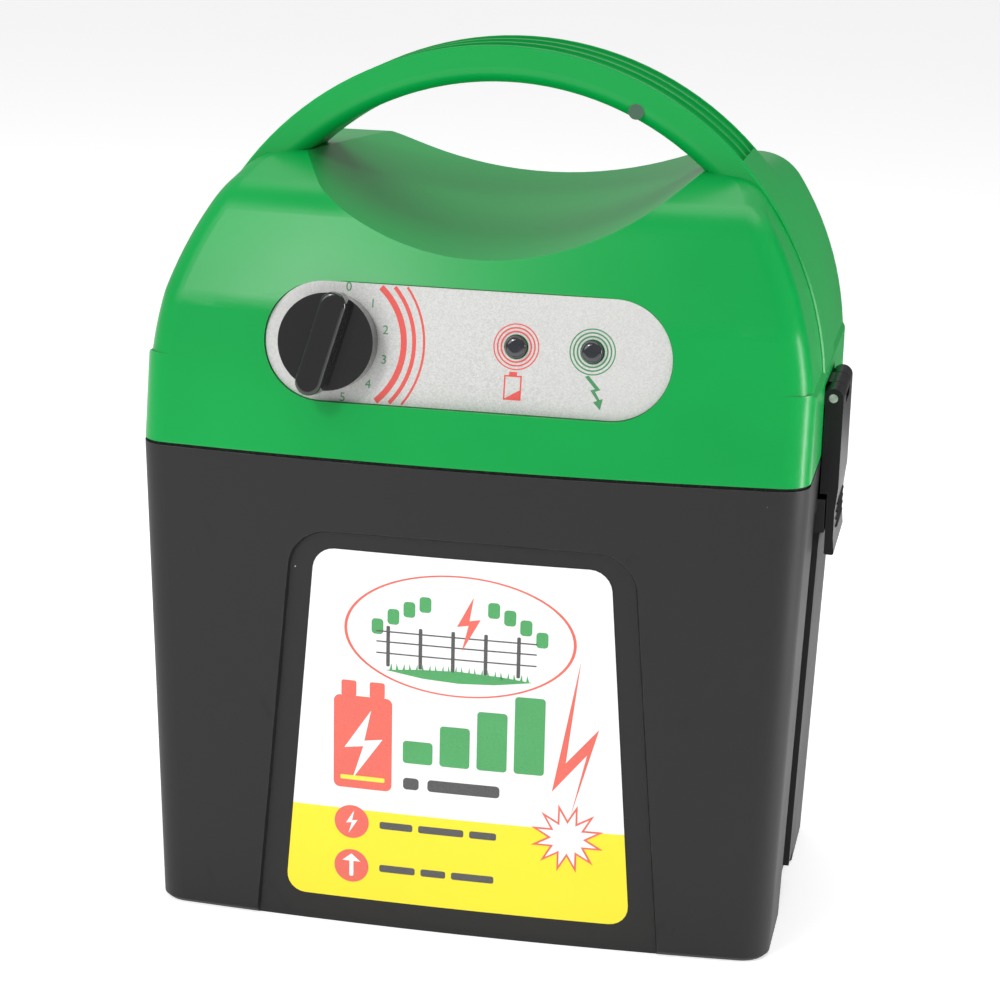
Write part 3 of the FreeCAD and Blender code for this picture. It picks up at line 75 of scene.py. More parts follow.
def colour_property(name, description, default):
    return FloatVectorProperty(name=name, description=description, default=default, size=3,
                               subtype="COLOR", min=0.0, max=1.0)


def length_property(name, description, default):
    return FloatProperty(name=name, description=description + ", in millimetres", default=default, min=0.0)


def share_property(name, description, default):
    return FloatProperty(name=name, description=description, default=default, min=0.0, max=1.0,
                         subtype="FACTOR")


class CaseFinish(bpy.types.PropertyGroup):
    """Colours and surface of the moulded case."""
    housing_colour: colour_property("Housing", "Colour of the glossy top housing", (0.001, 0.345, 0.062))
    housing_roughness: share_property("Housing roughness", "How dull the top housing is", 0.3)
    tub_colour: colour_property("Tub", "Colour of the satin battery tub", (0.0095, 0.0095, 0.01))
    tub_roughness: share_property("Tub roughness", "How dull the tub is", 0.52)
    latch_colour: colour_property("Latches", "Colour of the two side latches", (0.006, 0.006, 0.0065))
    fleck_size: share_property("Dust", "Size of the pale dust flecks on the tub", 0.025)


class LabelLook(bpy.types.PropertyGroup):
    """The printed label in the tub's shallow front recess."""
    bottom: length_property("Bottom", "Height of the label's lower edge", 9.5)
    height: length_property("Height", "Height of the label", 124.5)
    top_half: length_property("Top half width", "Half the label's width at its top", 49.5)
    base_half: length_property("Base half width", "Half the label's width at its foot", 59.5)
    corner: length_property("Corner", "Radius of the label's corners", 7.0)
    band_top: length_property("Band top", "Height where the coloured band ends", 42.3)
    ground: colour_property("Ground", "Colour of the label", (0.93, 0.93, 0.93))
    band: colour_property("Band", "Colour of the band along the foot", (0.93, 0.78, 0.018))
    red: colour_property("Red ink", "The label's red ink", (0.78, 0.085, 0.045))
    green: colour_property("Green ink", "The label's green ink", (0.008, 0.32, 0.055))
    dark: colour_property("Dark ink", "The label's dark ink", (0.02, 0.02, 0.022))


class PanelLook(bpy.types.PropertyGroup):
    """The control panel: its film, dial numbers, arcs, lamps and knob."""
    film: colour_property("Film", "Colour of the panel's film", (0.6, 0.6, 0.585))
    red: colour_property("Red ink", "Colour of the arcs and the battery mark", (0.75, 0.045, 0.03))
    green: colour_property("Green ink", "Colour of the numbers and the pulse mark", (0.004, 0.22, 0.05))
    knob: colour_property("Knob", "Colour of the selector knob", (0.008, 0.008, 0.009))
    number_radius: length_property("Number radius", "Distance of the numbers from the knob's centre", 18.6)
    number_size: length_property("Number size", "Height of the dial's numbers", 4.1)
    numbers: IntProperty(name="Last number", description="The dial counts from 0 to this", default=5,
                         min=1, max=9)


class StudioLook(bpy.types.PropertyGroup):
    """Floor, lights and camera."""
    floor: colour_property("Floor", "Colour of the floor", (0.93, 0.93, 0.93))
    floor_glow: FloatProperty(name="Floor glow", description="Light that the pale floor gives off by itself",
                              default=0.5, min=0.0)
    world: FloatProperty(name="Sky light", description="Strength of the even light from all round",
                         default=0.42, min=0.0)
    key: FloatProperty(name="Key light", description="Power of the large light at the front left",
                       default=13.0, min=0.0, unit="POWER")
    top: FloatProperty(name="Top light", description="Power of the light above", default=8.0, min=0.0,
                       unit="POWER")
    side: FloatProperty(name="Side light", description="Power of the narrow light at the right",
                        default=3.2, min=0.0, unit="POWER")
    glint: FloatProperty(name="Glint light", description="Power of the small light that glossy parts mirror",
                         default=3.0, min=0.0, unit="POWER")
    lens: FloatProperty(name="Lens", description="Focal length of the camera", default=97.5, min=1.0,
                        unit="CAMERA")


# ---------------------------------------------------------------- node graphs

class Graph:
    """Adds nodes to one node tree."""

    def __init__(self, tree):
        self.tree = tree

    def add(self, kind, inputs=None, **settings):
        node = self.tree.nodes.new(kind)
        for key, value in settings.items():
            setattr(node, key, value)
        for key, value in (inputs or {}).items():
            self.feed(node.inputs[key], value)
        return node

    def feed(self, socket, value):
        if isinstance(value, bpy.types.NodeSocket):
            self.tree.links.new(value, socket)
        else:
            socket.default_value = value

    def math(self, operation, *values, clamp=False):
        node = self.add("ShaderNodeMath", operation=operation, use_clamp=clamp)
        for socket, value in zip(node.inputs, values):
            self.feed(socket, value)
        return node.outputs[0]

    def blend(self, share, first, second):
        node = self.add("ShaderNodeMix", data_type="RGBA")
        self.feed(node.inputs[0], share)
        self.feed(node.inputs[6], first)
        self.feed(node.inputs[7], second)
        return node.outputs[2]

    def spread(self, value, low, high):
        """Maps a value from 0..1 to low..high."""
        return self.add("ShaderNodeMapRange", {"Value": value, "To Min": low, "To Max": high}).outputs[0]

    def step(self, value, low, high):
        """0 below low and 1 above high."""
        return self.add("ShaderNodeMapRange", {"Value": value, "From Min": low, "From Max": high},
                        interpolation_type="SMOOTHSTEP").outputs[0]

    def place(self):
        return self.add("ShaderNodeTexCoord").outputs["Object"]

    def noise(self, scale, detail=3.0, roughness=0.5, place=None):
        return self.add("ShaderNodeTexNoise", {"Vector": place or self.place(), "Scale": scale,
                                               "Detail": detail, "Roughness": roughness}).outputs["Fac"]


def group(name, inputs, outputs, fill):
    """A shader node group with named float inputs and outputs, made once."""
    if name in bpy.data.node_groups:
        return bpy.data.node_groups[name]
    tree = bpy.data.node_groups.new(name, "ShaderNodeTree")
    for label, default in inputs:
        socket = tree.interface.new_socket(label, in_out="INPUT", socket_type="NodeSocketFloat")
        socket.default_value = default
    for label in outputs:
        tree.interface.new_socket(label, in_out="OUTPUT", socket_type="NodeSocketFloat")
    graph = Graph(tree)
    given = graph.add("NodeGroupInput").outputs
    made = fill(graph, given)
    result = graph.add("NodeGroupOutput")
    for label in outputs:
        tree.links.new(made[label], result.inputs[label])
    return tree


def moulded_surface():
    """The fine skin of moulded plastic and the slow cloudiness of its colour."""
    def fill(g, given):
        fine = g.noise(given["Grain scale"], 2.0, 0.6)
        flow = g.noise(given["Flow scale"], 2.0, 0.4)
        return {"Height": g.math("ADD", fine, g.math("MULTIPLY", flow, 1.5)), "Cloud": flow, "Fine": fine}
    return group("Moulded surface", [("Grain scale", 900.0), ("Flow scale", 22.0)],
                 ["Height", "Cloud", "Fine"], fill)


def edge_rub():
    """Where handling has rubbed the edges paler, broken up by noise."""
    def fill(g, given):
        rounded = g.add("ShaderNodeBevel", {"Radius": given["Radius"]}, samples=4).outputs[0]
        true = g.add("ShaderNodeNewGeometry").outputs["Normal"]
        same = g.add("ShaderNodeVectorMath", operation="DOT_PRODUCT")
        g.feed(same.inputs[0], rounded)
        g.feed(same.inputs[1], true)
        turned = g.math("SUBTRACT", 1.0, same.outputs["Value"])
        patches = g.step(g.noise(given["Patch scale"], 4.0, 0.65), 0.38, 0.66)
        return {"Mask": g.math("MULTIPLY", g.step(turned, 0.02, 0.2), patches, clamp=True)}
    return group("Edge rub", [("Radius", 0.0007), ("Patch scale", 110.0)], ["Mask"], fill)


def dust_flecks():
    """Tiny scattered flecks, each its own size."""
    def fill(g, given):
        cells = g.add("ShaderNodeTexVoronoi", {"Vector": g.place(), "Scale": given["Scale"]})
        own = g.add("ShaderNodeSeparateColor", {"Color": cells.outputs["Color"]}).outputs[0]
        size = g.math("MULTIPLY", given["Size"], g.math("POWER", own, 3.0))
        return {"Mask": g.math("LESS_THAN", cells.outputs["Distance"], size)}
    return group("Dust flecks", [("Scale", 90.0), ("Size", 0.03)], ["Mask"], fill)


def fine_scratches():
    """Long faint strokes in two directions, as turned or wiped surfaces have."""
    def fill(g, given):
        place = g.place()
        total = None
        for turn, stretch in ((0.4, (1.0, 40.0, 1.0)), (2.1, (40.0, 1.0, 6.0))):
            mapped = g.add("ShaderNodeMapping", {"Vector": place, "Rotation": (0.3, turn, turn),
                                                 "Scale": stretch}).outputs[0]
            stroke = g.step(g.noise(given["Scale"], 3.0, 0.7, mapped), 0.6, 0.75)
            total = stroke if total is None else g.math("MAXIMUM", total, stroke)
        return {"Mask": total}
    return group("Fine scratches", [("Scale", 60.0)], ["Mask"], fill)


def use_group(graph, tree, **values):
    node = graph.add("ShaderNodeGroup", node_tree=tree)
    for key, value in values.items():
        graph.feed(node.inputs[key.replace("_", " ")], value)
    return node.outputs


def solid(colour):
    return (*colour, 1.0)


def tinted(colour, share):
    """A colour made lighter, above 1, or darker."""
    return (*(min(1.0, c * share) for c in colour), 1.0)


def start_material(name):
    material = bpy.data.materials.new(name)
    material.use_nodes = True
    graph = Graph(material.node_tree)
    return material, graph, material.node_tree.nodes["Principled BSDF"]


def moulded(name, colour, roughness, grain=700.0, grain_depth=0.00001, rub=0.25, rub_radius=0.0006,
            flecks=0.0, coat=0.0, ior=1.5, scuffs=0.0):
    """Moulded plastic: cloudy colour, fine skin, rubbed edges, and dust or scuffs where there are some."""
    material, g, shader = start_material(name)
    skin = use_group(g, moulded_surface(), Grain_scale=grain)
    rubbed = use_group(g, edge_rub(), Radius=rub_radius)["Mask"]
    cloudy = g.blend(skin["Cloud"], tinted(colour, 0.88), tinted(colour, 1.1))
    pale = tuple(c * 0.82 + 0.16 for c in colour)
    shade = g.blend(g.math("MULTIPLY", rubbed, rub), cloudy, solid(pale))
    rough = g.spread(skin["Cloud"], roughness * 0.86, min(1.0, roughness * 1.14))
    rough = g.math("ADD", rough, g.math("MULTIPLY", rubbed, 0.12))
    if scuffs:
        stroke = g.math("MULTIPLY", use_group(g, fine_scratches())["Mask"], scuffs)
        rough = g.math("ADD", rough, stroke, clamp=True)
    if flecks:
        dust = use_group(g, dust_flecks(), Size=flecks)["Mask"]
        shade = g.blend(dust, shade, DUST_COLOUR)
        rough = g.math("MAXIMUM", rough, dust)
    bump = g.add("ShaderNodeBump", {"Height": skin["Height"], "Distance": grain_depth, "Strength": 1.0})
    g.feed(shader.inputs["Base Color"], shade)
    g.feed(shader.inputs["Roughness"], rough)
    g.feed(shader.inputs["Normal"], bump.outputs[0])
    shader.inputs["IOR"].default_value = ior
    shader.inputs["Coat Weight"].default_value = coat
    shader.inputs["Coat Roughness"].default_value = 0.12
    return material


def metal(name, colour, roughness):
    """Plated or turned metal with scratches and dull patches."""
    material, g, shader = start_material(name)
    skin = use_group(g, moulded_surface(), Grain_scale=1500.0, Flow_scale=180.0)
    stroke = use_group(g, fine_scratches())["Mask"]
    dull = g.step(skin["Cloud"], 0.5, 0.72)
    shade = g.blend(g.math("MULTIPLY", dull, 0.45), solid(colour), TARNISH_COLOUR)
    g.feed(shader.inputs["Base Color"], shade)
    g.feed(shader.inputs["Roughness"], g.math("ADD", g.spread(dull, roughness, roughness + 0.2),
                                              g.math("MULTIPLY", stroke, 0.12), clamp=True))
    g.feed(shader.inputs["Metallic"], g.spread(dull, 1.0, 0.9))
    bump = g.add("ShaderNodeBump", {"Height": stroke, "Distance": 0.00001, "Strength": 0.6})
    g.feed(shader.inputs["Normal"], bump.outputs[0])
    return material


def wound(name, colour, turns, axis):
    """Enamelled wire wound in close turns along one axis, with painted shade darkening the grooves between
    turns.
    """
    material, g, shader = start_material(name)
    wave = g.add("ShaderNodeTexWave", {"Vector": g.place(), "Scale": turns, "Distortion": 0.35,
                                       "Detail": 1.0}, bands_direction=axis)
    groove = wave.outputs["Fac"]
    # The grooves between turns are painted darker, as painted shade; roughness, metal and bump follow the
    # same bands.
    g.feed(shader.inputs["Base Color"], g.blend(groove, tinted(colour, 0.35), solid(colour)))
    g.feed(shader.inputs["Roughness"], g.spread(groove, 0.5, 0.28))
    g.feed(shader.inputs["Metallic"], g.spread(groove, 0.5, 0.85))
    bump = g.add("ShaderNodeBump", {"Height": groove, "Distance": 0.0004})
    g.feed(shader.inputs["Normal"], bump.outputs[0])
    return material


def circuit_board():
    """Solder resist over copper tracks, with small pads."""
    material, g, shader = start_material("Circuit board")
    tracks = g.add("ShaderNodeTexBrick", {"Vector": g.place(), "Color1": (1, 1, 1, 1), "Color2": (1, 1, 1, 1),
                                          "Mortar": (0, 0, 0, 1), "Scale": 90.0, "Mortar Size": 0.05},
                   offset=0.37)
    line = g.math("SUBTRACT", 1.0, tracks.outputs["Fac"])
    pads = use_group(g, dust_flecks(), Scale=210.0, Size=0.42)["Mask"]
    resist = g.blend(line, (0.018, 0.15, 0.05, 1), (0.004, 0.07, 0.025, 1))
    shade = g.blend(pads, resist, (0.62, 0.6, 0.55, 1))
    g.feed(shader.inputs["Base Color"], shade)
    g.feed(shader.inputs["Roughness"], g.spread(line, 0.42, 0.25))
    g.feed(shader.inputs["Metallic"], pads)
    bump = g.add("ShaderNodeBump", {"Height": line, "Distance": 0.00005})
    g.feed(shader.inputs["Normal"], bump.outputs[0])
    return material


def foam(name, colour):
    """Closed cell foam or sponge rubber."""
    material, g, shader = start_material(name)
    cells = g.add("ShaderNodeTexVoronoi", {"Vector": g.place(), "Scale": 700.0}).outputs["Distance"]
    g.feed(shader.inputs["Base Color"], g.blend(cells, tinted(colour, 1.3), tinted(colour, 0.5)))
    g.feed(shader.inputs["Roughness"], g.spread(cells, 0.8, 1.0))
    bump = g.add("ShaderNodeBump", {"Height": cells, "Distance": 0.0004})
    g.feed(shader.inputs["Normal"], bump.outputs[0])
    return material


def ink(name, colour, roughness=0.4):
    """Printing ink with a slight mottle and a very fine screen."""
    material, g, shader = start_material(name)
    skin = use_group(g, moulded_surface(), Grain_scale=2600.0, Flow_scale=60.0)
    mottle = g.blend(skin["Cloud"], tinted(colour, 0.9), tinted(colour, 1.08))
    g.feed(shader.inputs["Base Color"], g.blend(g.spread(skin["Fine"], 0.0, 0.12), mottle, (1, 1, 1, 1)))
    g.feed(shader.inputs["Roughness"], g.spread(skin["Fine"], roughness * 0.85, roughness * 1.15))
    bump = g.add("ShaderNodeBump", {"Height": skin["Fine"], "Distance": 0.000005})
    g.feed(shader.inputs["Normal"], bump.outputs[0])
    return material


def label_paper(look):
    """Laminated label stock: white above, a coloured band along the foot."""
    material, g, shader = start_material("Label stock")
    skin = use_group(g, moulded_surface(), Grain_scale=1800.0, Flow_scale=30.0)
    height = g.add("ShaderNodeSeparateXYZ", {"Vector": g.place()}).outputs[2]
    top = look.band_top * MM
    white = g.blend(skin["Cloud"], tinted(look.ground, 0.97), tinted(look.ground, 1.02))
    yellow = g.blend(skin["Cloud"], tinted(look.band, 0.95), tinted(look.band, 1.03))
    g.feed(shader.inputs["Base Color"], g.blend(g.step(height, top - 0.0001, top + 0.0001), yellow, white))
    g.feed(shader.inputs["Roughness"], g.spread(skin["Cloud"], 0.3, 0.42))
    bump = g.add("ShaderNodeBump", {"Height": skin["Height"], "Distance": 0.000008})
    g.feed(shader.inputs["Normal"], bump.outputs[0])
    return material


def silver_film(look):
    """Silver grey printed film with a fine metallic sparkle."""
    material, g, shader = start_material("Silver film")
    skin = use_group(g, moulded_surface(), Grain_scale=2200.0, Flow_scale=14.0)
    sparkle = g.add("ShaderNodeTexVoronoi", {"Vector": g.place(), "Scale": 2600.0}).outputs["Color"]
    grain = g.add("ShaderNodeSeparateColor", {"Color": sparkle}).outputs[0]
    shade = g.blend(grain, tinted(look.film, 0.8), tinted(look.film, 1.2))
    g.feed(shader.inputs["Base Color"], g.blend(skin["Cloud"], shade, tinted(look.film, 1.08)))
    g.feed(shader.inputs["Roughness"], g.spread(grain, 0.34, 0.52))
    g.feed(shader.inputs["Metallic"], g.spread(grain, 0.1, 0.35))
    bump = g.add("ShaderNodeBump", {"Height": grain, "Distance": 0.00001, "Strength": 0.5})
    g.feed(shader.inputs["Normal"], bump.outputs[0])
    return material


def smoked_lens():
    """Smoked clear plastic over a lamp, with a faint cloudy tone."""
    material, g, shader = start_material("Smoked lens")
    skin = use_group(g, moulded_surface(), Grain_scale=500.0, Flow_scale=300.0)
    g.feed(shader.inputs["Base Color"],
           g.blend(skin["Cloud"], (0.006, 0.007, 0.01, 1), (0.03, 0.034, 0.045, 1)))
    g.feed(shader.inputs["Roughness"], g.spread(skin["Cloud"], 0.05, 0.13))
    shader.inputs["Coat Weight"].default_value = 0.8
    shader.inputs["Coat Roughness"].default_value = 0.04
    return material


# ---------------------------------------------------------------- flat prints

def plate(bm, points, rounding=0.0):
    """A flat shape in the X Z plane, in millimetres, with its corners rounded."""
    corners = [bm.verts.new((x, 0, z)) for x, z in points]
    bm.faces.new(corners)
    if rounding:
        bmesh.ops.bevel(bm, geom=corners, offset=rounding, segments=6, profile=0.5, affect="VERTICES",
                        material=-1)


def bar(bm, left, bottom, right, top, rounding=0.0):
    plate(bm, [(left, bottom), (right, bottom), (right, top), (left, top)], rounding)


def upright(x, z):
    """Takes a shape drawn on the X Y plane to the X Z plane, centred at x, z."""
    return Matrix.Translation((x, 0, z)) @ Matrix.Rotation(math.pi / 2, 4, "X")


def disc(bm, x, z, radius, segments=48):
    return bmesh.ops.create_circle(bm, cap_ends=True, segments=segments, radius=radius,
                                   matrix=upright(x, z))["verts"]


def ring(bm, x, z, radius, width, start=0.0, sweep=360.0, squash=1.0):
    """A ring or an arc: a short line spun about its centre. Squash flattens it to an oval."""
    around = Matrix.Rotation(-math.radians(start), 4, "Y")
    ends = [bm.verts.new(Vector((x, 0, z)) + around @ Vector((radius + side * width / 2, 0, 0)))
            for side in (-1, 1)]
    line = bm.edges.new(ends)
    whole = sweep >= 360.0
    before = set(bm.verts) - set(ends)
    bmesh.ops.spin(bm, geom=ends + [line], cent=(x, 0, z), axis=(0, -1, 0), angle=math.radians(sweep),
                   steps=max(8, int(sweep / 5)), use_merge=whole)
    made = [v for v in bm.verts if v not in before]
    if squash != 1.0:
        bmesh.ops.scale(bm, vec=(1, 1, squash), space=Matrix.Translation((-x, 0, -z)), verts=made)


def star(bm, x, z, outer, inner, points):
    """A circle whose every second corner is drawn inwards."""
    corners = disc(bm, x, z, outer, points * 2)
    bmesh.ops.scale(bm, vec=(inner / outer,) * 3, space=Matrix.Translation((-x, 0, -z)), verts=corners[::2])


def bolt(bm, x, z, tall, lean=0.42):
    """A plain lightning bolt, standing on its tip at the foot."""
    wide = tall * lean
    plate(bm, [(x + wide * 0.25, z + tall / 2), (x - wide * 0.55, z - tall * 0.06),
               (x + wide * 0.02, z - tall * 0.02), (x - wide * 0.3, z - tall / 2),
               (x + wide * 0.6, z + tall * 0.1), (x + wide * 0.05, z + tall * 0.06)])


def number(bm, words, x, z, size):
    """A generic number in the built-in typeface, made a mesh before it is placed."""
    curve = bpy.data.curves.new("number", "FONT")
    curve.body, curve.size, curve.align_x, curve.align_y = words, size, "CENTER", "CENTER"
    holder = bpy.data.objects.new("number", curve)
    bpy.context.scene.collection.objects.link(holder)
    drawn = bpy.data.meshes.new_from_object(holder.evaluated_get(bpy.context.evaluated_depsgraph_get()))
    drawn.transform(upright(x, z))
    bm.from_mesh(drawn)
    bpy.data.objects.remove(holder)
    bpy.data.curves.remove(curve)
    bpy.data.meshes.remove(drawn)


def slice_across(bm, pitch):
    """Cuts the flat shapes into strips, so that they can follow a bowed surface."""
    low = min(v.co.x for v in bm.verts)
    high = max(v.co.x for v in bm.verts)
    place = math.ceil(low / pitch) * pitch
    while place < high:
        everything = bm.verts[:] + bm.edges[:] + bm.faces[:]
        bmesh.ops.bisect_plane(bm, geom=everything, dist=0.0001, plane_co=(place, 0, 0), plane_no=(1, 0, 0))
        place += pitch


def thicken(bm, depth):
    """Gives flat shapes a back, depth behind their face."""
    grown = bmesh.ops.extrude_face_region(bm, geom=bm.faces[:], use_keep_orig=True)["geom"]
    bmesh.ops.translate(bm, vec=(0, depth, 0), verts=[g for g in grown if isinstance(g, bmesh.types.BMVert)])
    bmesh.ops.recalc_face_normals(bm, faces=bm.faces[:])


def piece(name, bm, material, body, replaced=(), place=None):
    """Turns a bmesh in millimetres into a finished piece that rides on a body."""
    bmesh.ops.transform(bm, matrix=Matrix.Scale(MM, 4) @ (place or Matrix.Identity(4)), verts=bm.verts[:])
    mesh = bpy.data.meshes.new(name)
    bm.to_mesh(mesh)
    bm.free()
    mesh.materials.append(material)
    made = bpy.data.objects.new(name, mesh)
    bpy.context.scene.collection.objects.link(made)
    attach(made, body)
    if replaced:
        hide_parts(*replaced)
    return made


def label_surface(x, z):
    """How far forward the label's face is at a place on it."""
    share = z / TUB_HEIGHT
    bow = (BOW + BOW_GROWTH * share) * (x / (HALF_WIDTH + HALF_WIDTH_GROWTH * share)) ** 2
    return bow - FRONT - FRONT_GROWTH * share + RECESS_DEPTH


def label_print(name, draw, material, lift, thickness=PRINT_THICKNESS, replaced=()):
    """A shape drawn flat and pressed on to the label's bowed face."""
    bm = bmesh.new()
    draw(bm)
    slice_across(bm, STRIP_WIDTH)
    for v in bm.verts:
        v.co.y = label_surface(v.co.x, v.co.z) - lift
    thicken(bm, thickness)
    return piece(name, bm, material, "tub", replaced)


def panel_place():
    """The sunk panel's own frame: X along it, Z up its leaning face, Y into the housing."""
    low, high = (Vector(c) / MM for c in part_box("control_film"))
    return Matrix.Translation((low + high) / 2) @ Matrix.Rotation(-FACE_LEAN, 4, "X")


def panel_print(name, draw, material):
    """A shape drawn flat and laid on the panel's film."""
    bm = bmesh.new()
    draw(bm)
    bmesh.ops.translate(bm, vec=(0, -FILM_HALF - PRINT_THICKNESS, 0), verts=bm.verts[:])
    thicken(bm, PRINT_THICKNESS)
    return piece(name, bm, material, "lid", place=panel_place())


def finish(material, *nodes):
    """Gives CAD nodes a finish through their material slots."""
    for name in nodes:
        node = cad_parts[name]
        if not node.material_slots:
            node.data.materials.append(material)
        for place in node.material_slots:
            place.material = material


# ---------------------------------------------------------------- operators

class EnergizerOperator:
    """What all the builders here share."""
    bl_options = {"REGISTER", "UNDO"}


class ENERGIZER_OT_tub(EnergizerOperator, bpy.types.Operator):
    """Gives the battery tub its satin finish with dust, and the seal its sponge"""
    bl_idname = "energizer.tub"
    bl_label = "Tub and Seal"

    def execute(self, context):
        look = context.scene.energizer_case
        finish(moulded("Tub plastic", look.tub_colour, look.tub_roughness, grain=1100.0,
                       grain_depth=0.00002, rub=0.3, flecks=look.fleck_size, scuffs=0.08, ior=1.42),
               "battery_box")
        finish(foam("Seal sponge", (0.018, 0.018, 0.018)), "housing_seal")
        return {"FINISHED"}


class ENERGIZER_OT_housing(EnergizerOperator, bpy.types.Operator):
    """Gives the top housing its glossy finish and the handle a small dark disc painted as the shade of a
    notch
    """
    bl_idname = "energizer.housing"
    bl_label = "Top Housing"

    mark_x, mark_z, mark_front = 44.2, 275.6, 18.76
    mark_radius, mark_thickness = 2.6, 0.2

    def execute(self, context):
        look = context.scene.energizer_case
        green = moulded("Housing plastic", look.housing_colour, look.housing_roughness, grain=650.0,
                        grain_depth=0.000012, rub=0.2, rub_radius=0.0009, scuffs=0.05, ior=1.36)
        finish(green, "top_housing")
        finish(moulded("Inner plastic", (0.03, 0.031, 0.033), 0.55), "base_plate")
        self.handle_mark()
        return {"FINISHED"}

    def handle_mark(self):
        """A small thin disc on the handle's front face, its dark grey-green painted as the shade of a small
        notch.
        """
        bm = bmesh.new()
        disc(bm, self.mark_x, self.mark_z, self.mark_radius, 40)
        bmesh.ops.translate(bm, vec=(0, -self.mark_front, 0), verts=bm.verts[:])
        thicken(bm, self.mark_thickness)
        # The disc's dark grey-green is painted shade that stands in for the hollow of a small notch.
        grey = moulded("Notch shade plastic", (0.05, 0.12, 0.075), 0.45)
        piece("handle_mark", bm, grey, "lid")


class ENERGIZER_OT_label(EnergizerOperator, bpy.types.Operator):
    """Builds the bowed label and its generic printing"""
    bl_idname = "energizer.label"
    bl_label = "Label"

    burst = (37.8, 39.3)
    disc_x, disc_heights = -36.2, (37.6, 21.4)
    line_bars = (
        (-18.4, -13.0, 53.6, 4.2), (-10.0, 14.6, 53.6, 4.2),
        (-26.4, -15.0, 37.4, 2.6), (-13.0, 2.6, 37.4, 2.6), (4.6, 13.8, 37.4, 2.6),
        (-26.4, -14.0, 21.6, 2.6), (-12.0, -3.4, 21.6, 2.6), (-1.4, 13.2, 21.6, 2.6),
    )

    def execute(self, context):
        self.look = look = context.scene.energizer_label
        inks = {n: ink(f"Label {n} ink", getattr(look, n)) for n in ("red", "green", "dark")}
        white = ink("Label white ink", (0.93, 0.93, 0.93))
        yellow = ink("Label yellow ink", look.band)
        label_print("printed_label", self.stock, label_paper(look), 0.0, LABEL_THICKNESS,
                    ("front_label",))
        label_print("label_oval", self.oval, inks["red"], 0.05)
        label_print("label_scene_green", self.pasture, inks["green"], 0.05)
        label_print("label_scene_dark", self.fence, inks["dark"], 0.1)
        label_print("label_scene_bolt", lambda bm: bolt(bm, 3.0, 112.0, 19.0, 0.36), inks["red"], 0.13)
        label_print("label_battery", self.battery, inks["red"], 0.05)
        label_print("label_battery_bolt", lambda bm: bolt(bm, -32.5, 66.0, 25.0, 0.46), white, 0.1)
        label_print("label_level_bars", self.level_bars, inks["green"], 0.05)
        label_print("label_lines", self.lines, inks["dark"], 0.05)
        label_print("label_bolt", self.long_bolt, inks["red"], 0.05)
        label_print("label_burst_edge", lambda bm: star(bm, *self.burst, 12.6, 6.6, 12), inks["red"], 0.08)
        label_print("label_burst", lambda bm: star(bm, *self.burst, 10.2, 5.3, 12), white, 0.12)
        label_print("label_discs", self.discs, inks["red"], 0.05)
        label_print("label_disc_marks", self.disc_marks, white, 0.1)
        label_print("label_battery_band", lambda bm: bar(bm, -40.2, 53.0, -24.8, 54.6, 0.5), yellow, 0.12)
        return {"FINISHED"}

    def stock(self, bm):
        look = self.look
        top = look.bottom + look.height
        plate(bm, [(-look.base_half, look.bottom), (look.base_half, look.bottom),
                   (look.top_half, top), (-look.top_half, top)], look.corner)

    def oval(self, bm):
        ring(bm, 0.0, 107.3, 38.6, 1.0, squash=0.54)

    def pasture(self, bm):
        """A strip of grass with blades, and two falling rows of rounded squares above."""
        plate(bm, [(-25.0, 93.5), (-12.0, 91.6), (0.0, 91.0), (12.0, 91.6), (25.0, 93.5), (14.0, 94.6),
                   (0.0, 95.2), (-14.0, 94.6)])
        for i in range(22):
            x = -23.0 + 2.2 * i
            plate(bm, [(x - 0.5, 93.6), (x + 0.5, 93.6), (x + 0.25 * (-1) ** i, 97.2 - 0.05 * abs(x))])
        for side in (-1, 1):
            for i in range(4):
                middle = side * (11.5 + 5.4 * i)
                drop = 0.014 * middle * middle
                bar(bm, middle - 2.0, 116.6 - drop, middle + 2.0, 122.0 - drop, 1.2)

    def fence(self, bm):
        """Posts with three wires."""
        for x in (-24.0, -13.0, -2.0, 9.0, 20.0):
            bar(bm, x - 0.6, 94.8, x + 0.6, 109.0, 0.4)
        for z in (99.4, 103.4, 107.0):
            bar(bm, -28.0, z - 0.22, 26.0, z + 0.22)

    def battery(self, bm):
        bar(bm, -42.6, 50.0, -22.4, 83.2, 2.2)
        for x in (-37.4, -27.6):
            bar(bm, x - 2.6, 83.0, x + 2.6, 88.6, 0.8)

    def level_bars(self, bm):
        for i in range(4):
            left = -18.6 + 12.6 * i
            bar(bm, left, 61.0, left + 10.2, 69.0 + 6.4 * i, 1.2)

    def lines(self, bm):
        """Plain bars: left end, right end, middle height and thickness of each."""
        for left, right, z, tall in self.line_bars:
            bar(bm, left, z - tall / 2, right, z + tall / 2, tall * 0.3)

    def long_bolt(self, bm):
        plate(bm, [(40.8, 103.0), (32.2, 55.6), (43.6, 69.6), (38.6, 47.0), (47.4, 79.0), (36.6, 66.2)])

    def discs(self, bm):
        for z in self.disc_heights:
            disc(bm, self.disc_x, z, 6.0)

    def disc_marks(self, bm):
        bolt(bm, self.disc_x, self.disc_heights[0], 8.4)
        bar(bm, -36.9, 17.6, -35.5, 24.2, 0.5)
        plate(bm, [(-39.4, 23.2), (-33.0, 23.2), (-36.2, 25.9)])


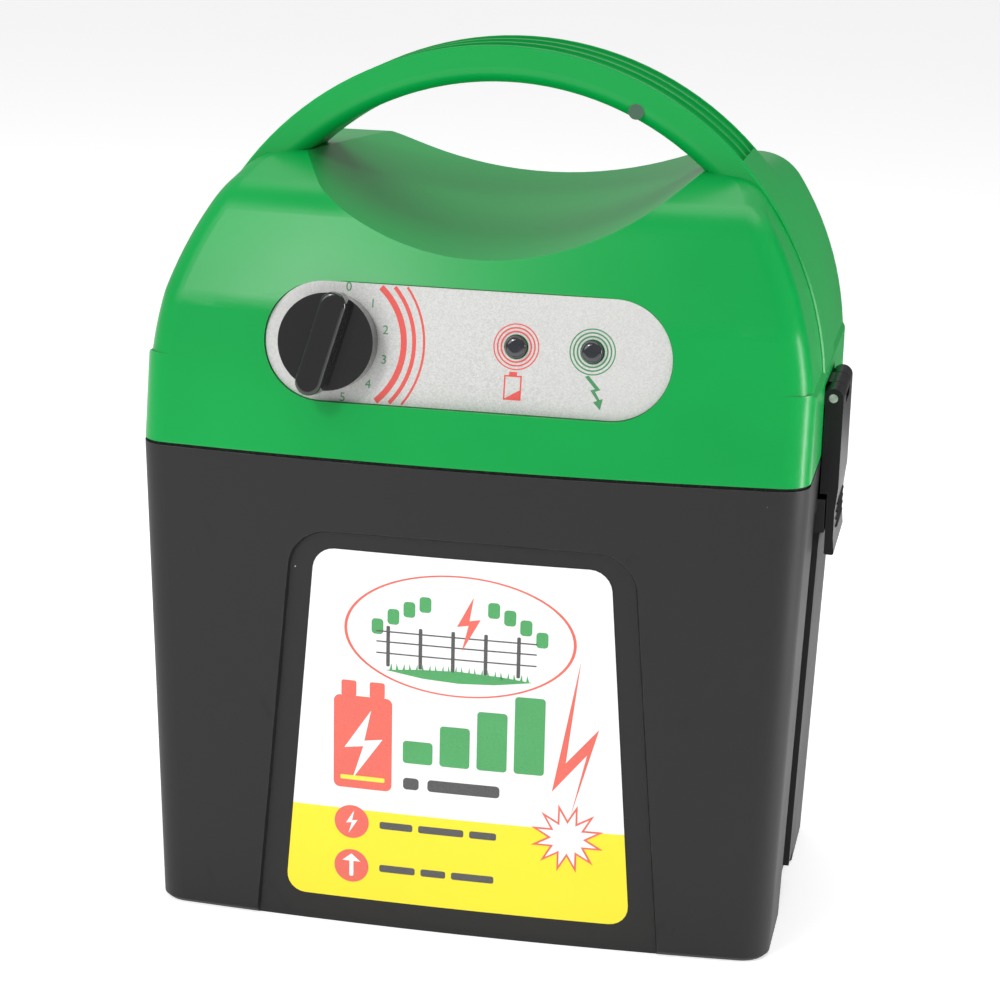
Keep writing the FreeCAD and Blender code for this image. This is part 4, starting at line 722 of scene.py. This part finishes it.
class ENERGIZER_OT_control_panel(EnergizerOperator, bpy.types.Operator):
    """Gives the panel its silver film, numbers, arcs, rings and marks"""
    bl_idname = "energizer.control_panel"
    bl_label = "Control Panel"

    knob_x, lamp_z, film_half_tall = -45.0, 2.2, 19.2
    lamps = (16.2, 41.0)

    def execute(self, context):
        self.look = context.scene.energizer_panel
        finish(silver_film(self.look), "control_film")
        red = ink("Panel red ink", self.look.red, 0.35)
        green = ink("Panel green ink", self.look.green, 0.35)
        panel_print("dial_numbers", self.numbers, green)
        panel_print("dial_arcs", self.arcs, red)
        panel_print("battery_lamp_rings", lambda bm: self.rings(bm, self.lamps[0]), red)
        panel_print("pulse_lamp_rings", lambda bm: self.rings(bm, self.lamps[1]), green)
        panel_print("battery_mark", self.battery_mark, red)
        panel_print("pulse_mark", self.pulse_mark, green)
        return {"FINISHED"}

    def numbers(self, bm):
        look = self.look
        for i in range(look.numbers + 1):
            angle = math.radians(74.0 - 149.0 / look.numbers * i)
            number(bm, str(i), self.knob_x + look.number_radius * math.cos(angle),
                   look.number_radius * math.sin(angle), look.number_size)

    def arcs(self, bm):
        for radius, width in ((24.3, 2.0), (27.7, 1.3), (31.0, 0.75)):
            reach = math.degrees(math.asin(self.film_half_tall / (radius + width / 2)))
            ring(bm, self.knob_x, 0.0, radius, width, -reach, reach * 2)

    def rings(self, bm, x):
        for radius, width in ((4.9, 0.55), (6.1, 0.5), (7.3, 0.4)):
            ring(bm, x, self.lamp_z, radius, width)

    def battery_mark(self, bm):
        x, z = self.lamps[0] - 0.5, -10.6
        for left, bottom, right, top in (
                (-2.9, -4.4, 2.9, -3.9), (-2.9, 3.1, 2.9, 3.6), (-2.9, -4.0, -2.4, 3.2),
                (2.4, -4.0, 2.9, 3.2), (-1.3, 3.5, 1.3, 4.7)):
            bar(bm, x + left, z + bottom, x + right, z + top)
        plate(bm, [(x - 2.5, z - 4.0), (x + 2.5, z - 4.0), (x + 2.5, z - 1.0)])

    def pulse_mark(self, bm):
        x, z = self.lamps[1] + 0.6, -10.8
        plate(bm, [(x - 2.6, z + 5.0), (x + 0.9, z + 1.2), (x - 0.6, z + 0.7), (x + 1.9, z - 2.6),
                   (x + 2.6, z - 2.2), (x + 1.0, z + 0.4), (x + 2.7, z + 1.0), (x - 1.4, z + 5.4)])
        plate(bm, [(x + 2.9, z - 5.4), (x + 3.6, z - 1.7), (x + 0.5, z - 3.0)])


class ENERGIZER_OT_knob(EnergizerOperator, bpy.types.Operator):
    """Gives the selector knob and its shaft their finishes"""
    bl_idname = "energizer.knob"
    bl_label = "Selector Knob"

    def execute(self, context):
        colour = context.scene.energizer_panel.knob
        finish(moulded("Knob plastic", colour, 0.09, grain=500.0, grain_depth=0.000003, rub=0.1,
                       rub_radius=0.0005, coat=0.5), "rotary_knob")
        finish(metal("Plated shaft", (0.62, 0.6, 0.56), 0.28), "knob_shaft", "switch_nut")
        finish(moulded("Switch body", (0.03, 0.03, 0.034), 0.5), "rotary_switch")
        return {"FINISHED"}


class ENERGIZER_OT_lamps(EnergizerOperator, bpy.types.Operator):
    """Gives both lamps their smoked lenses"""
    bl_idname = "energizer.lamps"
    bl_label = "Lamps"

    def execute(self, context):
        finish(smoked_lens(), "battery_lamp_lens", "pulse_lamp_lens")
        return {"FINISHED"}


class ENERGIZER_OT_latches(EnergizerOperator, bpy.types.Operator):
    """Gives the latches, their brackets and pins their finishes"""
    bl_idname = "energizer.latches"
    bl_label = "Latches"

    def execute(self, context):
        colour = context.scene.energizer_case.latch_colour
        finish(moulded("Latch plastic", colour, 0.34, grain=800.0, grain_depth=0.00001, rub=0.3,
                       rub_radius=0.0005, scuffs=0.1, ior=1.32), "latch_right", "latch_left",
               "latch_bracket_right", "latch_bracket_left")
        finish(metal("Latch pin steel", (0.6, 0.6, 0.58), 0.3), "latch_pin_right", "latch_pin_left")
        return {"FINISHED"}


class ENERGIZER_OT_terminals(EnergizerOperator, bpy.types.Operator):
    """Finishes the two rear terminals and prints a pulse mark and an earth mark above them"""
    bl_idname = "energizer.terminals"
    bl_label = "Terminals"

    wall, mark_height = 73.0, 227.0

    def execute(self, context):
        look = context.scene.energizer_label
        steel = metal("Terminal steel", (0.66, 0.65, 0.6), 0.26)
        for end in ("fence", "earth"):
            finish(steel, f"{end}_terminal_stud", f"{end}_terminal_nut", f"{end}_terminal_washer")
            finish(moulded(f"{end.capitalize()} bush", (0.02, 0.02, 0.021), 0.42), f"{end}_terminal_bush")
        finish(moulded("Red knob", (0.55, 0.018, 0.012), 0.3, coat=0.2), "fence_terminal_knob")
        finish(moulded("Green knob", (0.01, 0.22, 0.05), 0.3, coat=0.2), "earth_terminal_knob")
        white = ink("Rear mark ink", look.ground)
        self.mark("pulse_terminal_mark", lambda bm: bolt(bm, -38.0, self.mark_height, 14.0), white)
        self.mark("earth_terminal_mark", self.earth, white)
        return {"FINISHED"}

    def earth(self, bm):
        x, z = 38.0, self.mark_height
        bar(bm, x - 0.5, z - 1.0, x + 0.5, z + 6.0)
        for half, drop in ((5.0, 1.0), (3.3, 3.2), (1.6, 5.4)):
            bar(bm, x - half, z - drop - 0.5, x + half, z - drop + 0.5)

    def mark(self, name, draw, material):
        bm = bmesh.new()
        draw(bm)
        bmesh.ops.translate(bm, vec=(0, self.wall, 0), verts=bm.verts[:])
        thicken(bm, 0.06)
        piece(name, bm, material, "lid")


class ENERGIZER_OT_electronics(EnergizerOperator, bpy.types.Operator):
    """Finishes the circuit boards and what stands on them"""
    bl_idname = "energizer.electronics"
    bl_label = "Electronics"

    def execute(self, context):
        finish(circuit_board(), "control_board", "power_board")
        finish(wound("Core laminations", (0.16, 0.16, 0.17), 700.0, "Y"), "transformer_core")
        finish(wound("Transformer winding", (0.7, 0.3, 0.12), 300.0, "Z"), "transformer_coil")
        finish(wound("Inverter winding", (0.66, 0.32, 0.14), 420.0, "X"), "inverter_coil")
        finish(moulded("Capacitor sleeve", (0.015, 0.03, 0.13), 0.25, coat=0.4), "storage_capacitor")
        finish(moulded("Component epoxy", (0.012, 0.012, 0.012), 0.5), "thyristor")
        finish(metal("Heat sink", (0.74, 0.75, 0.77), 0.36), "heat_sink")
        steel = metal("Screw steel", (0.6, 0.59, 0.56), 0.3)
        finish(steel, *(n for n in sorted(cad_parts) if "_screw_" in n))
        return {"FINISHED"}


class ENERGIZER_OT_battery(EnergizerOperator, bpy.types.Operator):
    """Finishes the battery, its pad, leads and clips"""
    bl_idname = "energizer.battery"
    bl_label = "Battery and Leads"

    def execute(self, context):
        finish(self.shell(), "battery_case")
        finish(metal("Battery brass", (0.72, 0.52, 0.22), 0.34),
               "battery_terminal_plus", "battery_terminal_minus")
        finish(foam("Battery pad", (0.05, 0.05, 0.052)), "battery_pad")
        for colour, shade in (("red", (0.5, 0.015, 0.01)), ("black", (0.015, 0.015, 0.016))):
            cover = moulded(f"{colour.capitalize()} lead cover", shade, 0.45)
            finish(cover, f"battery_lead_{colour}", f"battery_clip_{colour}")
        return {"FINISHED"}

    def shell(self):
        """A dark block with a plain coloured band round it."""
        material, g, shader = start_material("Battery shell")
        skin = use_group(g, moulded_surface())
        height = g.add("ShaderNodeSeparateXYZ", {"Vector": g.place()}).outputs[2]
        band = g.math("MULTIPLY", g.step(height, 0.058, 0.0584), g.step(height, 0.0884, 0.088))
        body = g.blend(skin["Cloud"], (0.03, 0.034, 0.05, 1), (0.045, 0.05, 0.07, 1))
        g.feed(shader.inputs["Base Color"], g.blend(band, body, (0.62, 0.45, 0.03, 1)))
        g.feed(shader.inputs["Roughness"], g.spread(skin["Cloud"], 0.4, 0.6))
        bump = g.add("ShaderNodeBump", {"Height": skin["Height"], "Distance": 0.00002})
        g.feed(shader.inputs["Normal"], bump.outputs[0])
        return material


class ENERGIZER_OT_studio(EnergizerOperator, bpy.types.Operator):
    """Sets up the pale floor, the soft lights and the camera"""
    bl_idname = "energizer.studio"
    bl_label = "Studio"

    floor_half = 9.0
    stand, aim, roll = (0.1727, -0.898, 0.3855), (0, 0, 0.132), 1.59

    def execute(self, context):
        look = context.scene.energizer_studio
        self.floor(look)
        self.world(context, look)
        self.card("side_card", (0.6, 0.75, 0.3), 90, 1.1, 0.7, (0.02, 0.02, 0.02))
        self.card("rear_card", (0.55, 0.7, 0.25), 0, 0.9, 0.6, (0.14, 0.14, 0.14))
        self.light("Key", (-0.95, -1.25, 1.25), (0, 0, 0.15), 1.3, 1.3, look.key)
        self.light("Top", (0.1, 0.45, 1.5), (0, 0, 0.2), 1.4, 0.9, look.top)
        self.light("Side", (0.72, -0.03, 0.12), (0.1, -0.05, 0.17), 0.1, 0.5, look.side)
        self.light("Glint", (-0.45, -0.9, 0.95), (-0.04, -0.06, 0.2), 0.16, 0.16, look.glint)
        self.camera(context, look)
        context.scene.view_settings.view_transform = "Standard"
        return {"FINISHED"}

    def floor(self, look):
        bm = bmesh.new()
        bmesh.ops.create_grid(bm, x_segments=8, y_segments=8, size=self.floor_half)
        mesh = bpy.data.meshes.new("floor")
        bm.to_mesh(mesh)
        bm.free()
        material, g, shader = start_material("Floor")
        cloud = g.noise(1.5, 2.0, 0.5)
        g.feed(shader.inputs["Base Color"], g.blend(cloud, tinted(look.floor, 0.985), solid(look.floor)))
        g.feed(shader.inputs["Roughness"], g.spread(cloud, 0.75, 0.85))
        shader.inputs["Emission Color"].default_value = (1, 1, 1, 1)
        shader.inputs["Emission Strength"].default_value = look.floor_glow
        mesh.materials.append(material)
        floor = bpy.data.objects.new("floor", mesh)
        bpy.context.scene.collection.objects.link(floor)

    def card(self, name, place, turn, wide, tall, shade):
        """A card that glossy surfaces reflect. The camera doesn't see it and it casts no shadow."""
        bm = bmesh.new()
        bmesh.ops.create_grid(bm, x_segments=1, y_segments=1, size=0.5)
        bmesh.ops.transform(bm, verts=bm.verts[:], matrix=Matrix.Translation(place)
                            @ Matrix.Rotation(math.radians(turn), 4, "Z")
                            @ Matrix.Rotation(math.radians(90), 4, "X") @ Matrix.Diagonal((wide, tall, 1, 1)))
        mesh = bpy.data.meshes.new(name)
        bm.to_mesh(mesh)
        bm.free()
        material, g, shader = start_material(name)
        g.feed(shader.inputs["Base Color"], g.blend(g.noise(4.0), tinted(shade, 0.8), tinted(shade, 1.2)))
        g.feed(shader.inputs["Roughness"], g.spread(g.noise(4.0), 0.85, 0.95))
        mesh.materials.append(material)
        card = bpy.data.objects.new(name, mesh)
        card.visible_camera = card.visible_shadow = False
        bpy.context.scene.collection.objects.link(card)

    def world(self, context, look):
        world = bpy.data.worlds.new("Studio world")
        world.use_nodes = True
        ground = world.node_tree.nodes["Background"]
        ground.inputs[0].default_value = (1, 1, 1, 1)
        ground.inputs[1].default_value = look.world
        context.scene.world = world

    def light(self, name, place, aim, wide, tall, power):
        data = bpy.data.lights.new(name, "AREA")
        data.shape, data.size, data.size_y, data.energy = "RECTANGLE", wide, tall, power
        light = bpy.data.objects.new(name, data)
        light.location = place
        light.rotation_euler = (Vector(aim) - Vector(place)).to_track_quat("-Z", "Y").to_euler()
        bpy.context.scene.collection.objects.link(light)

    def camera(self, context, look):
        data = bpy.data.cameras.new("Camera")
        data.lens, data.sensor_width = look.lens, 36.0
        data.shift_x, data.shift_y = -0.003, 0.010
        camera = bpy.data.objects.new("Camera", data)
        place = Vector(self.stand)
        ahead = (Vector(self.aim) - place).normalized()
        right = ahead.cross(Vector((0, 0, 1))).normalized()
        up = right.cross(ahead)
        roll = math.radians(self.roll)
        across = right * math.cos(roll) + up * math.sin(roll)
        upward = up * math.cos(roll) - right * math.sin(roll)
        camera.matrix_world = Matrix.Translation(place) @ Matrix(
            (across, upward, -ahead)).transposed().to_4x4()
        context.scene.collection.objects.link(camera)
        context.scene.camera = camera


class ENERGIZER_PT_panel(bpy.types.Panel):
    """Lists the builders and their settings"""
    bl_label = "Fence Energizer"
    bl_space_type = "VIEW_3D"
    bl_region_type = "UI"
    bl_category = "Energizer"

    def draw(self, context):
        for kind in BUILDERS:
            self.layout.operator(kind.bl_idname)
        for name in SETTINGS:
            box = self.layout.box()
            settings = getattr(context.scene, name)
            for key in type(settings).__annotations__:
                box.prop(settings, key)


BUILDERS = (
    ENERGIZER_OT_tub, ENERGIZER_OT_housing, ENERGIZER_OT_label, ENERGIZER_OT_control_panel,
    ENERGIZER_OT_knob, ENERGIZER_OT_lamps, ENERGIZER_OT_latches, ENERGIZER_OT_terminals,
    ENERGIZER_OT_electronics, ENERGIZER_OT_battery, ENERGIZER_OT_studio,
)
SETTINGS = {
    "energizer_case": CaseFinish,
    "energizer_label": LabelLook,
    "energizer_panel": PanelLook,
    "energizer_studio": StudioLook,
}


def register():
    for kind in (*SETTINGS.values(), *BUILDERS, ENERGIZER_PT_panel):
        bpy.utils.register_class(kind)
    for name, kind in SETTINGS.items():
        setattr(bpy.types.Scene, name, PointerProperty(type=kind))


def unregister():
    for name in SETTINGS:
        delattr(bpy.types.Scene, name)
    for kind in (ENERGIZER_PT_panel, *reversed(BUILDERS), *reversed(list(SETTINGS.values()))):
        bpy.utils.unregister_class(kind)


def main():
    register()
    bpy.ops.energizer.tub()
    bpy.ops.energizer.housing()
    bpy.ops.energizer.label()
    bpy.ops.energizer.control_panel()
    bpy.ops.energizer.knob()
    bpy.ops.energizer.lamps()
    bpy.ops.energizer.latches()
    bpy.ops.energizer.terminals()
    bpy.ops.energizer.electronics()
    bpy.ops.energizer.battery()
    bpy.ops.energizer.studio()


if __name__ == "__main__":
    main()
